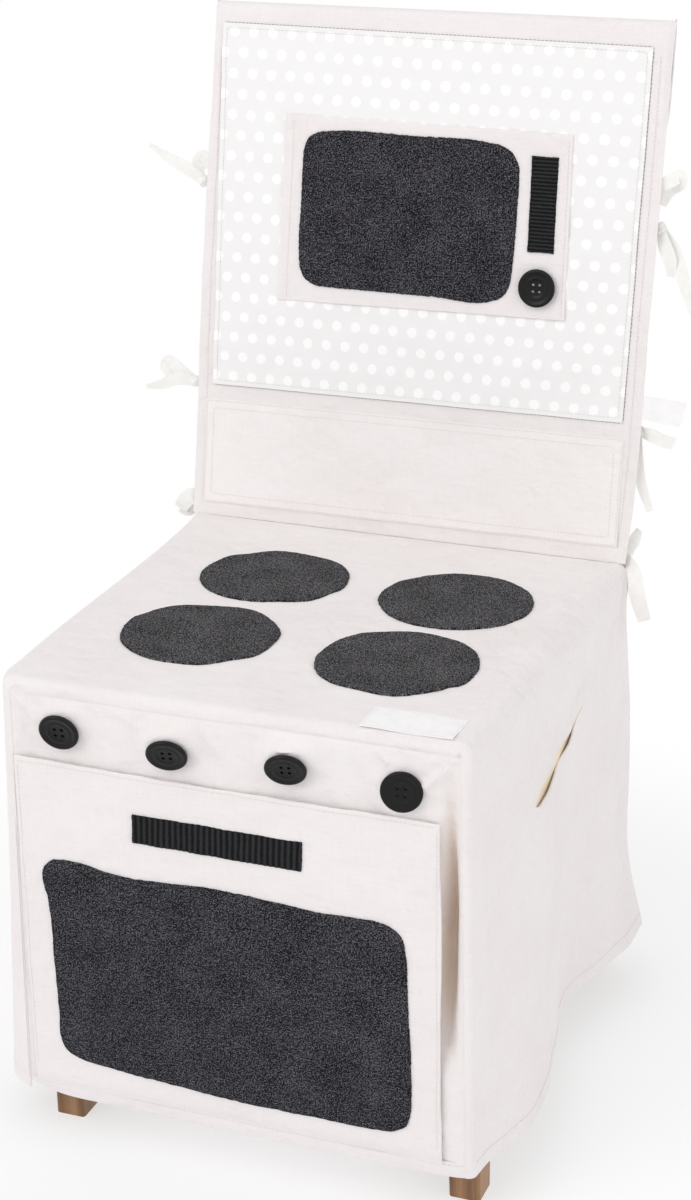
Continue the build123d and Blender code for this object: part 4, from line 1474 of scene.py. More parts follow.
# ------------------------------------------------------------------ front of the oven
@dataclass(frozen=True)
class Front:
    """Front cloth with the oven's opening, its hem and the cloth box behind it."""

    shell: Shell
    opening: Span = (-0.15494, 0.15494, 0.074, 0.346)
    corner: float = 0.012
    depth: float = 0.1815
    thickness: float = 0.0012
    top: float = 0.4345
    middle: Flat = (0.0, 0.21)
    side_points: int = 300
    corner_rise: float = 0.0033
    hem_top: float = 0.0592
    hem_places: Row = (
        -0.2095, -0.186, -0.117, -0.035, 0.034, 0.089, 0.133, 0.174, 0.2095,
    )
    hem_heights: Row = (
        0.0535, 0.0475, 0.0455, 0.0445, 0.0435, 0.0435, 0.0435, 0.0445, 0.0455,
    )
    recess: Gully = Gully(
        (0.09, 0.15, 0.18, 0.22, 0.28, 0.34, 0.39, 0.42),
        (0.182, 0.182, 0.1825, 0.1835, 0.1865, 0.191, 0.194, 0.195),
        (0.0, 0.001, 0.008, 0.016, 0.019, 0.017, 0.010, 0.002), 0.0100,
    )
    reliefs: tuple[Relief, ...] = (
        Crease((-0.203, 0.433), (-0.170, 0.408), 0.0035, 0.0036),
        Crease((-0.194, 0.436), (-0.166, 0.418), 0.003, -0.0020),
        Crease((0.160, 0.400), (0.192, 0.428), 0.004, 0.0044),
        Crease((0.166, 0.410), (0.190, 0.434), 0.003, -0.0024),
        Crease((0.166, 0.392), (0.196, 0.386), 0.005, -0.0022),
        Crease((0.12, 0.434), (0.146, 0.410), 0.0032, 0.0036),
        Crease((0.100, 0.430), (0.118, 0.400), 0.003, 0.0016),
        Crease((-0.11, 0.432), (-0.072, 0.410), 0.0032, 0.0030),
        Crease((-0.03, 0.428), (-0.005, 0.396), 0.0032, 0.0026),
        Crease((0.015, 0.434), (0.060, 0.420), 0.0032, 0.0026),
        Ripple(0.0006, 0.06, 25),
        Ripple(0.0003, 0.022, 26),
        Ripple(0.0006, 0.07, 27, creased=True),
    )

    @property
    def front(self) -> float:
        """Depth of the front face."""
        return self.shell.cover.front

    def build(self) -> None:
        """Build the front cloth, its hem and the box behind the opening."""
        self._cloth()
        self._hem()
        self._liner()

    def _outer(self) -> Array:
        """Outline of the front cloth, anticlockwise from the lower left corner."""
        sides = []
        for side, way in ((RIGHT, 1.0), (LEFT, -1.0)):
            low = self.hem_heights[0 if way < 0 else -1]
            z = np.linspace(low, self.top + 0.0012, self.side_points)
            tuck = 0.0010 * (1 - smoothstep(z, 0.425, self.top + 0.001))
            sides.append(np.stack([way * (self.shell.seam_x(side, z) + tuck), z], axis=1))
        right, left = sides[0], sides[1][::-1]
        u = np.linspace(left[-1, 0], right[0, 0], self.side_points)
        low = np.stack([u, hermite(self.hem_places, self.hem_heights, u)], axis=1)
        u = np.linspace(right[-1, 0], left[0, 0], self.side_points)
        inside = self.shell.cover.front_half - np.abs(u)
        rise = self.corner_rise * bell(inside, 0.0085, 0.006)
        top = np.stack([u, np.maximum(self.top + rise, self.top)], axis=1)
        top[0], top[-1] = right[-1], left[0]
        return np.concatenate([low[:-1], right[:-1], top[:-1], left[:-1]])

    def _cloth(self) -> None:
        """Ring-shaped cloth from the opening to the seams."""
        centre = np.array(self.middle)
        inner = rounded_outline(self.opening, self.corner, 2400)
        outer = self._outer()
        corner_points = outer[::self.side_points - 1]
        corners = [math.atan2(v - centre[1], u) for u, v in corner_points]
        spread = np.linspace(-math.pi, math.pi, 420, endpoint=False)
        angles = np.sort(np.concatenate([spread, corners]))

        def reach(outline: Array) -> Array:
            """Distance of an outline from the middle at the angles."""
            away = outline - centre
            turn = np.arctan2(away[:, 1], away[:, 0])
            order = np.argsort(turn)
            return np.interp(angles, turn[order], np.hypot(away[:, 0], away[:, 1])[order],
                             period=math.tau)

        near, far = reach(inner), reach(outer)
        rows = np.concatenate([np.linspace(0, 0.93, 26), [0.955, 0.975, 0.99, 1.0]])
        distance = near + (far - near) * rows[::-1, None]
        u = centre[0] + distance * np.cos(angles)
        v = centre[1] + distance * np.sin(angles)
        edge = np.minimum(self.shell.seam_x(RIGHT, v) - u, self.shell.seam_x(LEFT, v) + u)
        edge = np.minimum(edge, self.top - 0.001 - v)
        calm = smoothstep(edge, 0.0, 0.012)
        sunk = -np.where(u < -0.185, 0.0004, 0.0012) * (1 - smoothstep(edge, -0.0005, 0.005))
        shaded_hollow = self.recess(u, v) * smoothstep(edge, -0.001, 0.010)
        deepest = max(self.recess.depths)
        knobs = [self._under(knob) for knob in KNOBS]
        lift = relief((*self.reliefs, *knobs), u, v) * calm + sunk + shaded_hollow
        points = FrontGround(self.front, ()).at(u, v, lift)
        flat = np.stack([u, v], axis=-1)
        piece = Piece("front_cloth").grid(points, flat, wrap=True)
        # the fold's depth, as the tint, paints shade on the canvas there
        piece.tint = np.ravel(-shaded_hollow / deepest)
        cloth = piece.make(CANVAS, self.thickness)
        install(cloth, COVER, "canvas", "front_panel")

    def _under(self, knob: str) -> Swell:
        """The cloth drawn up to the back of a knob."""
        back, axis = knob_back(knob)
        slope = (axis.x / axis.y, axis.z / axis.y)
        return Swell((back.x, back.z), self.front - back.y - self.thickness, slope)

    def _hem(self) -> None:
        """Folded hem along the foot of the front, with its seam."""
        foot = np.array(0.05)
        start = -float(self.shell.seam_x(LEFT, foot)) - 0.0008
        end = float(self.shell.seam_x(RIGHT, foot)) + 0.0008
        share, rise = np.meshgrid(np.linspace(0, 1, 110), np.linspace(0, 1, 7))
        u = start + (end - start) * share
        low = hermite(self.hem_places, self.hem_heights, u) - 0.0006
        v = low + (self.hem_top - low) * rise
        lift = 0.0016 * np.sin(np.clip(rise * 1.6, 0, 1) * math.pi / 2)
        ends = smoothstep(np.minimum(share, 1 - share), 0.0, 0.03)
        lift = (lift + 0.0015 * np.sin(share * math.pi)) * ends - 0.0014 * (1 - ends)
        flat_ground = FrontGround(self.front, ())
        points = flat_ground.at(u, v, lift)
        flat = np.stack([u, v], axis=-1)
        hem = Piece("front_hem_band").grid(points, flat).make(CANVAS, self.thickness)
        install(hem, COVER, "canvas", "front_hem")
        path = flat_ground.at(u[5], v[5], lift[5] + 0.0002)
        seam("front_hem_seam", path, FORWARD, COVER)

    def _liner(self) -> None:
        """Cloth box behind the opening."""
        low_u, high_u, low_v, high_v = self.opening
        wrinkle = Ripple(0.0012, 0.09, 31)
        rows, flats = [], []
        outline = rounded_outline(self.opening, self.corner, 300)
        centre = np.array([(low_u + high_u) / 2, (low_v + high_v) / 2])
        run = np.linspace(0, 2 * (high_u - low_u + high_v - low_v), 300)
        for mark in np.linspace(0, 1, 30):
            depth = np.full(len(run), 0.001 + (self.depth - 0.001) * mark)
            sag = wrinkle(run, depth) * smoothstep(mark, 0.02, 0.2)
            edge = centre + (outline - centre) * (1 - (sag[:, None] + 0.0012) / 0.15 * (mark > 0))
            rows.append(np.stack([edge[:, 0], self.front + depth, edge[:, 1]], axis=1))
            flats.append(np.stack([run, depth], axis=1))
        for share in np.linspace(0.97, 0.05, 22):
            edge = centre + (outline - centre) * share * 0.985
            y = self.front + self.depth + wrinkle(edge[:, 0], edge[:, 1]) * 0.5 - 0.001
            rows.append(np.stack([edge[:, 0], y, edge[:, 1]], axis=1))
            flats.append(edge)
        liner = Piece("oven_cloth_box").rings(rows, flats, centre).make(CANVAS, self.thickness)
        install(liner, COVER, "canvas", "oven_liner")


# ------------------------------------------------------------------ back and pocket
@dataclass(frozen=True)
class BackSkirt:
    """Back of the skirt, hanging from the foot of the sleeve between the two side skirts."""

    shell: Shell
    top: float = 0.4440
    y_top: float = 0.2012
    y_low: float = 0.2200
    thickness: float = 0.0014
    waves: Ripple = Ripple(0.0022, 0.16, 41, (0.7, 3.0))

    def build(self) -> None:
        """Build the back skirt and its hem seam."""
        shell = self.shell
        share, rise = np.meshgrid(np.linspace(0, 1, 96), np.linspace(0, 1, 84))
        v = shell.hem + (self.top - shell.hem) * rise
        low = 1 - rise
        rear = shell.rear((shell.cover.hob - v) / shell.drop)
        left = -shell.face(LEFT, rear, v) + 0.0004
        right = shell.face(RIGHT, rear, v) - 0.0004
        u = left + (right - left) * share
        calm = low * np.sin(share * math.pi) ** 0.5
        y = self.y_top + (self.y_low - self.y_top) * low + self.waves(u, v) * calm
        points = np.stack([u, y, v], axis=-1)
        flat = np.stack([u, v], axis=-1)
        piece = Piece("back_skirt").grid(points[:, ::-1], flat[:, ::-1])
        skirt = piece.make(CANVAS, self.thickness)
        install(skirt, COVER, "canvas", "back_panel")
        seam("back_hem_seam", points[3] + np.array([0.0, 0.0003, 0.0]), BACKWARD, COVER)


@dataclass(frozen=True)
class SidePocket:
    """Cloth bag behind the slit in the right skirt."""

    shell: Shell
    y_span: Flat = (-0.1265, 0.0495)
    z_span: Flat = (0.1905, 0.3705)
    inner: float = 0.1892
    corner: float = 0.02
    thickness: float = 0.0010

    def build(self) -> None:
        """Build the bag as rings from its mouth to its inner wall."""
        outline = rounded_outline((*self.y_span, *self.z_span), self.corner, 200)
        centre = np.array([sum(self.y_span) / 2, sum(self.z_span) / 2])
        wrinkle = Ripple(0.0012, 0.06, 51)
        rows, flats = [], []
        for mark in np.linspace(0, 1, 7):
            edge = centre + (outline - centre) * (1 - 0.02 * mark)
            x = self._wall(edge, mark)
            rows.append(np.stack([x, edge[:, 0], edge[:, 1]], axis=1))
            flats.append(np.stack([edge[:, 0], edge[:, 1] + 0.02 * mark], axis=1))
        for share in np.linspace(0.92, 0.06, 18):
            edge = centre + (outline - centre) * share
            x = self._wall(edge, 1.0)
            x = x + np.abs(wrinkle(edge[:, 0], edge[:, 1])) * (x < self.inner + 0.003)
            rows.append(np.stack([x, edge[:, 0], edge[:, 1]], axis=1))
            flats.append(edge)
        # the bag's tan canvas is painted shade inside the pocket
        bag = Piece("pocket_bag").rings(rows, flats, centre).make(POCKET_SHADE_CANVAS, self.thickness)
        install(bag, COVER, "canvas", "side_pocket")

    def _wall(self, edge: Array, mark: float) -> Array:
        """How far out the bag stands: just behind the skirt at its mouth, deeper away from it."""
        middle_y, middle_z = self.shell.slit_middle
        mouth = middle_z + (edge[:, 0] - middle_y) * self.shell.slit_slope
        away = smoothstep(np.abs(edge[:, 1] - mouth + 0.008), 0.022, 0.06)
        face = self.shell.face(RIGHT, edge[:, 0], edge[:, 1]) - 0.0021
        return face + (self.inner - face) * mark * away


# ------------------------------------------------------------------ sleeve
@dataclass(frozen=True)
class Sleeve:
    """Cloth sleeve over the chair's back, with the plain and the dotted panel on its front."""

    cover: Cover
    length: float = 0.49039
    width: float = 0.448
    depth: float = 0.0280
    roll: float = 0.008
    groove: float = 0.0004  # depth along each side seam
    thickness: float = 0.0014
    heights: Row = (
        0.0, 0.014, 0.05, 0.08, 0.128, 0.172, 0.209, 0.281, 0.405, 0.457, 0.4904,
    )
    left: Row = (
        0.2290, 0.2288, 0.2280, 0.2275, 0.2268, 0.2268, 0.2265, 0.2245, 0.2215, 0.2205, 0.2200,
    )
    right: Row = (
        0.2105, 0.2115, 0.2140, 0.2153, 0.2165, 0.2169, 0.2168, 0.2186, 0.2206, 0.2213, 0.2218,
    )
    splash: Quad = Quad((-0.2188, 0.0130), (0.2016, 0.0150), (0.2014, 0.1168), (-0.2174, 0.1148))
    dotted: Quad = Quad((-0.2112, 0.1294), (0.1993, 0.1314), (0.2046, 0.4668), (-0.2104, 0.4708))
    reliefs: tuple[Relief, ...] = (
        Ripple(0.0005, 0.07, 61), Ripple(0.0002, 0.03, 62), Ripple(0.0005, 0.08, 63, creased=True),
    )

    def build(self) -> None:
        """Build the sleeve and its panels."""
        self._cloth()
        ground = BackGround(self.cover, 0.0, self.reliefs)
        self._splash(ground)
        self._dotted(ground)

    def _cloth(self) -> None:
        """One sheet, up the front, over the top and down the back to the loose rear edges."""
        rise = np.linspace(0, self.length - self.roll, 92)
        arc = np.radians(np.linspace(0, 90, 8)[1:])
        flat_top = np.linspace(self.roll, self.depth - self.roll, 5)[1:]
        down = rise[::-1][1:-1]
        depth = np.concatenate([
            np.zeros_like(rise), self.roll * (1 - np.cos(arc)), flat_top,
            self.depth - self.roll + self.roll * np.sin(arc), np.full(len(down), self.depth),
        ])[:, None]
        height = np.concatenate([
            rise, self.length - self.roll + self.roll * np.sin(arc),
            np.full(len(flat_top), self.length),
            self.length - self.roll + self.roll * np.cos(arc), down,
        ])[:, None]
        left = hermite(self.heights, self.left, height)
        right = hermite(self.heights, self.right, height)
        ends = np.array([0.0, 0.0016, 0.0032, 0.0048, 0.0064, 0.008, 0.0095, 0.011, 0.016])
        inner = np.linspace(0.024, 0.424, 80)
        run = np.concatenate([ends, inner, self.width - ends[::-1]]) / self.width
        u = -left + (left + right) * run
        from_edge = np.minimum(u + left, right - u)
        groove = -self.groove * bell(from_edge, ends[6], 0.0014)
        waves = relief(self.reliefs, u, height) * smoothstep(height, 0.0, 0.02)
        waves = waves * (1 - smoothstep(height, self.length - 0.02, self.length - 0.008))
        back_part = smoothstep(depth, 0.0, self.depth)
        below_crest = 1 - smoothstep(height, 0.350, 0.424)
        curl = 1 - smoothstep(from_edge, 0.0, 0.0078 + 0.034 * below_crest)
        drawn = back_part * curl * (0.019 + 0.004 * below_crest)
        ahead = (1 - back_part) * (1 - smoothstep(from_edge, 0.0, 0.005))
        drawn = drawn - 0.004 * ahead * (1 - below_crest)
        u = u - np.sign(u) * back_part * curl * 0.004 * below_crest
        facing = np.where(depth < self.depth / 2, -1.0, 1.0)
        points = on_back(self.cover, u, depth + facing * (waves + groove) - drawn, height)
        path = np.hypot(np.diff(depth[:, 0]), np.diff(height[:, 0]))
        along = np.concatenate([[0.0], np.cumsum(path)])
        flat = np.stack(np.broadcast_arrays(run[None, :] * self.width, along[:, None]), axis=-1)
        sleeve = Piece("sleeve_cloth").grid(points, flat).make(CANVAS, self.thickness)
        install(sleeve, COVER, "canvas", "sleeve_front", "sleeve_back")
        for name, column in (("left", 6), ("right", -7)):
            front_path = points[3:88, column] + np.array([0.0, -0.0004, 0.0])
            rear_path = points[-85:-3, column] + np.array([0.0, 0.0006, 0.0])
            seam(f"sleeve_{name}_seam", front_path, OFF_SLEEVE, COVER)
            seam(f"sleeve_{name}_rear_seam", rear_path, BACKWARD, COVER)

    def _splash(self, ground: BackGround) -> None:
        """Plain panel above the hob, its canvas painted lighter, with two rows of stitches at its
        edge.
        """
        # the splash panel's canvas is painted lighter than the rest
        cloth = slab("splash_cloth", ground, self.splash, LIT_CANVAS, 0.0011, ABOVE, roll=0.0005)
        install(cloth, COVER, "canvas", "splash_panel")
        for name, inset in (("outer", 0.0015), ("inner", 0.0085)):
            self._border(f"splash_{name}_seam", ground, self.splash, inset, 0.0013)

    def _dotted(self, ground: BackGround) -> None:
        """Dotted panel, sewn along its edge, with a dark thread just outside the edge as a painted
        shadow line.
        """
        cloth = slab("dotted_cloth", ground, self.dotted, DottedCotton(), 0.0013, ABOVE,
                     roll=0.0006, curl=0.0007)
        install(cloth, COVER, "dotted_cotton", "dotted_panel")
        self._border("dotted_seam", ground, self.dotted, 0.0045, 0.0018)
        # painted shadow: a dark thread just outside the panel's edge
        edge = Thread("thread_painted_shadow", (0.33, 0.29, 0.27))
        self._border("dotted_edge_painted_shadow", ground, self.dotted, -0.0003, 0.0003, edge)

    def _border(
        self, name: str, ground: BackGround, quad: Quad, inset: float, lift: float,
        finish: Finish = PALE_THREAD,
    ) -> None:
        """A seam round a panel, inside its edge, or just outside it at a negative inset."""
        wide, high = quad.size()
        outline = looped(rounded_outline((inset, wide - inset, inset, high - inset), 0.002, 900))
        u, v = quad.at(outline[:, 0] / wide, outline[:, 1] / high)
        seam(name, ground.at(u, v, lift), OFF_SLEEVE, COVER, finish)


# ------------------------------------------------------------------ felt with a sewn edge
def felt_piece(
    name: str, ground: Ground, outline: Array, finish: Finish, lift: float,
    body: str, node: str, up: Place,
) -> Object:
    """A felt shape and the close dark stitches over its edge.

    Args:
        name: of the felt.
        ground: what it lies on.
        outline: its closed edge.
        finish: the felt.
        lift: of its lower face off the ground.
        body: the CAD body that carries it.
        node: the CAD node that it replaces.
        up: the direction away from the cloth.

    Returns:
        The felt.
    """
    rough = Ripple(0.00025, 0.007, 75)(outline[:, 0], outline[:, 1])
    outline = outline + units(outline - outline.mean(axis=0)) * rough[:, None]
    felt = pad(name, ground, outline, finish, lift)
    install(felt, body, "felt_charcoal", node)
    line = zigzag(outline, 0.0026, -0.0004, 0.0022)
    points = ground.at(line[:, 0], line[:, 1], lift + 0.0017)
    points[::2] = ground.at(line[::2, 0], line[::2, 1], lift + 0.0006)
    stitches = sewn(f"{name}_edge", points[:-1], points[1:], np.array(up), BLACK_THREAD, 0.0003)
    install(stitches, body, "thread")
    return felt


# ------------------------------------------------------------------ oven door
@dataclass(frozen=True)
class DoorGround:
    """The door's place in front of the cloth, drawn in to the hem at its foot."""

    front: float
    back: float
    reliefs: tuple[Relief, ...]
    foot: float = 0.0017
    thinned: float = 0.35

    def at(self, u: Array, v: Array, lift: Array | float = 0.0) -> Array:
        """Points of the door, which is thinner and nearer to the cloth at its foot."""
        drawn = smoothstep(v, 0.056, 0.066)
        base = relief(self.reliefs, u, v) * smoothstep(v, 0.06, 0.09)
        y = self.front - self.foot - (self.back - self.foot) * drawn - base
        y = y - lift * (self.thinned + (1 - self.thinned) * drawn)
        return np.stack(np.broadcast_arrays(u, y, v), axis=-1)


@dataclass(frozen=True)
class OvenDoor:
    """Door of doubled canvas with its felt window, strap and closing tapes."""

    cover: Cover
    span: Span = (-0.199, 0.181, 0.0560, 0.375)
    back: float = 0.0026
    thickness: float = 0.0030
    window: tuple[Flat, ...] = (
        (-0.1783, 0.2680), (-0.1755, 0.2764), (-0.1700, 0.2822), (-0.1600, 0.2846),
        (-0.1423, 0.2845), (-0.1218, 0.2808), (-0.1010, 0.2786), (-0.0649, 0.2800),
        (-0.0334, 0.2822), (-0.0028, 0.2816), (0.0323, 0.2797), (0.0735, 0.2775),
        (0.1099, 0.2788), (0.1290, 0.2784), (0.1400, 0.2752), (0.1480, 0.2676),
        (0.1516, 0.2514), (0.1526, 0.2243), (0.1536, 0.1877), (0.1553, 0.1507),
        (0.1558, 0.1178), (0.1548, 0.1020), (0.1505, 0.0895), (0.1414, 0.0833),
        (0.1249, 0.0809), (0.0717, 0.0799), (0.0176, 0.0795), (-0.0255, 0.0806),
        (-0.0601, 0.0829), (-0.0905, 0.0845), (-0.1234, 0.0869), (-0.1530, 0.0916),
        (-0.1650, 0.0965), (-0.1698, 0.1067), (-0.1710, 0.1374), (-0.1723, 0.1882),
        (-0.1736, 0.2300), (-0.1752, 0.2474), (-0.1776, 0.2573),
    )
    strap: Quad = Quad((-0.0916, 0.3126), (0.0614, 0.3128), (0.0624, 0.3394), (-0.0906, 0.3392))
    reliefs: tuple[Relief, ...] = (
        Ripple(0.0006, 0.11, 71),
        Ripple(0.0004, 0.026, 72),
        Ripple(0.0004, 0.10, 76, creased=True),
        Crease((-0.14, 0.345), (-0.02, 0.352), 0.006, 0.0008),
        Crease((0.06, 0.30), (0.10, 0.36), 0.006, 0.0006),
    )

    def build(self) -> None:
        """Build the door and all on it."""
        ground = FrontGround(self.cover.front, self.reliefs)
        self._cloth(ground)
        self._window(ground)
        self._strap(ground)
        self._tapes()

    def _cloth(self, ground: FrontGround) -> None:
        """Door cloth, drawn in to the hem at its foot, and its seams."""
        front = self.cover.front
        hung = DoorGround(front, self.back, self.reliefs)
        door = slab("oven_door_cloth", hung, box_quad(*self.span), CANVAS, self.thickness,
                    spacing=0.0045, roll=0.0014, shift=Ripple(0.0008, 0.13, 73))
        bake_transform(door)
        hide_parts("oven_door")
        low_u, high_u, _, high_v = self.span
        top = np.linspace(low_u + 0.003, high_u - 0.003, 300)
        rise = np.linspace(0.072, high_v - 0.004, 260)
        lift = self.back + self.thickness + ABOVE
        for name, u, v in (
            ("top", top, np.full(300, high_v - 0.0035)),
            ("left", np.full(260, low_u + 0.003), rise),
            ("right", np.full(260, high_u - 0.003), rise),
        ):
            seam(f"oven_door_{name}_seam", ground.at(u, v, lift), FORWARD, "oven_door")

    def _window(self, ground: FrontGround) -> None:
        """Felt window with its wavering hand-cut outline."""
        outline = smooth_path(self.window[::-1], 420, closed=True)
        felt = felt_piece("oven_window_felt", ground, outline, WINDOW_FELT,
                          self.back + self.thickness - 0.0002, "oven_door", "oven_window", FORWARD)

    def _strap(self, ground: FrontGround) -> None:
        """Webbing strap, ribbed across its length, with its ends folded under."""
        strap = webbing("oven_strap", ground, self.strap, self.back + self.thickness, 0.0052,
                        along_u=True)
        install(strap, "oven_door", "webbing_black", "oven_handle")

    def _tapes(self) -> None:
        """Closing tapes behind the door's top corners and on the front cloth."""
        plain = FrontGround(self.cover.front, ())
        for side, low in (("left", -0.194), ("right", 0.136)):
            quad = box_quad(low, low + 0.040, 0.354, 0.370)
            for kind, body, lift, rests in (
                ("hook", "oven_door", 0.0014, "oven_door_cloth"),
                ("loop", COVER, 0.0, "front_cloth"),
            ):
                tape = slab(f"{kind}_tape_{side}", plain, quad, ClosureTape(), 0.0011, lift,
                            spacing=0.004, roll=0.0004)
                install(tape, body, "closure_tape", *([f"{kind}_tapes"] if side == "left" else []))


def webbing(
    name: str, ground: Ground, quad: Quad, lift: float, pitch: float, along_u: bool,
) -> Object:
    """A ribbed webbing strap with soft, slightly frayed ends.

    Args:
        name: of the object.
        ground: what it is sewn on.
        quad: its corners.
        lift: of its lower face off the ground.
        pitch: of its ribs.
        along_u: whether the strap runs along u, its ribs across it.

    Returns:
        The strap.
    """
    long, wide = quad.size() if along_u else quad.size()[::-1]
    edge, roll = np.array([0.0, 0.0004]), 0.0008

    def marks(length: float, inset: float, count: int) -> Array:
        """Where the grid lines stand: evenly, with two more at each edge."""
        inner = np.linspace(inset, length - inset, count)
        return np.concatenate([edge, inner, length - edge[::-1]])

    run, aside = marks(long, 0.001, int(long / pitch * 12)), marks(wide, roll, 14)
    grid_run, grid_aside = np.meshgrid(run, aside)
    ribs = (0.5 + 0.5 * np.sin(grid_run * math.tau / pitch)) ** 0.7
    fine = 0.5 + 0.5 * np.sin(grid_run * math.tau / (pitch / 3))
    swell = rounded(to_edge(grid_run, long, grid_aside, wide), roll)
    from_end = smoothstep(np.minimum(grid_run, long - grid_run), 0.0, 0.006)
    height = (0.0011 + 0.0006 * ribs + 0.0001 * fine + 0.0004 * (1 - from_end)) * swell
    fray = Ripple(0.00022, 0.004, 81)
    frayed_run = grid_run + fray(grid_run, grid_aside)
    frayed_aside = grid_aside + fray(grid_aside, grid_run) * 0.8
    flat = np.stack([frayed_run, frayed_aside], axis=-1)
    shares = frayed_run / long, frayed_aside / wide
    u, v = quad.at(*(shares if along_u else shares[::-1]))
    face, rear = ground.at(u, v, lift + height), ground.at(u, v, lift)
    if not along_u:
        face, rear, flat = face[:, ::-1], rear[:, ::-1], flat[:, ::-1]
    piece = Piece(name).grid(face, flat).grid(rear[:, ::-1], flat[:, ::-1])
    # the rib heights, as the tint, paint a highlight on the crests
    ribs = np.ravel(ribs if along_u else ribs[:, ::-1])
    piece.tint = np.concatenate([ribs, ribs])
    return piece.make(Webbing(), sharp=math.radians(75))


# ------------------------------------------------------------------ microwave
@dataclass(frozen=True)
class Microwave:
    """Microwave flap with its felt window and strap."""

    cover: Cover
    quad: Quad = Quad((-0.1458, 0.2164), (0.1387, 0.2199), (0.1368, 0.3871), (-0.1432, 0.3906))
    back: float = 0.0015
    thickness: float = 0.0024
    bend: Flat = (-0.1475, -0.1390)
    strap: Quad = Quad((0.0997, 0.2798), (0.1251, 0.2798), (0.1248, 0.3663), (0.0994, 0.3663))
    window: tuple[Flat, ...] = (
        (-0.1222, 0.3624), (-0.1180, 0.3703), (-0.1087, 0.3753), (-0.0955, 0.3771),
        (-0.0171, 0.3772), (0.0561, 0.3757), (0.0706, 0.3732), (0.0810, 0.3671), (0.0866, 0.3580),
        (0.0881, 0.3446), (0.0881, 0.3208), (0.0866, 0.2728), (0.0860, 0.2590), (0.0835, 0.2450),
        (0.0768, 0.2358), (0.0679, 0.2323), (0.0088, 0.2320), (-0.0666, 0.2323), (-0.0933, 0.2326),
        (-0.1088, 0.2339), (-0.1174, 0.2389), (-0.1228, 0.2481), (-0.1246, 0.2639),
        (-0.1242, 0.3134), (-0.1237, 0.3414),
    )
    reliefs: tuple[Relief, ...] = (Ripple(0.0003, 0.06, 91),)

    def build(self) -> None:
        """Build the flap and all on it."""
        ground = BackGround(self.cover, -self.back, self.reliefs)
        flap = slab("microwave_flap", ground, self.quad, CANVAS, self.thickness,
                    spacing=0.0045, roll=0.0010)
        start, end = (on_back(self.cover, x, -self.back, 0.30) for x in self.bend)
        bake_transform(flap)
        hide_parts("microwave_door")
        rise = np.linspace(0.018, 0.982, 150)
        for name, across in (("fold", 0.033), ("free", 0.989)):
            u, v = self.quad.at(np.full(150, across), rise)
            path = ground.at(u, v, self.thickness + ABOVE)
            seam(f"microwave_{name}_seam", path, OFF_SLEEVE, "microwave_door")
        self._window(ground)
        strap = webbing("microwave_strap", ground, self.strap, self.thickness, 0.0034,
                        along_u=False)
        install(strap, "microwave_door", "webbing_black", "microwave_handle")

    def _window(self, ground: BackGround) -> None:
        """Felt window of the flap."""
        outline = smooth_path(self.window, 340, closed=True)[::-1]
        felt = felt_piece("microwave_window_felt", ground, outline, WINDOW_FELT,
                          self.thickness - 0.0002, "microwave_door", "microwave_window", OFF_SLEEVE)


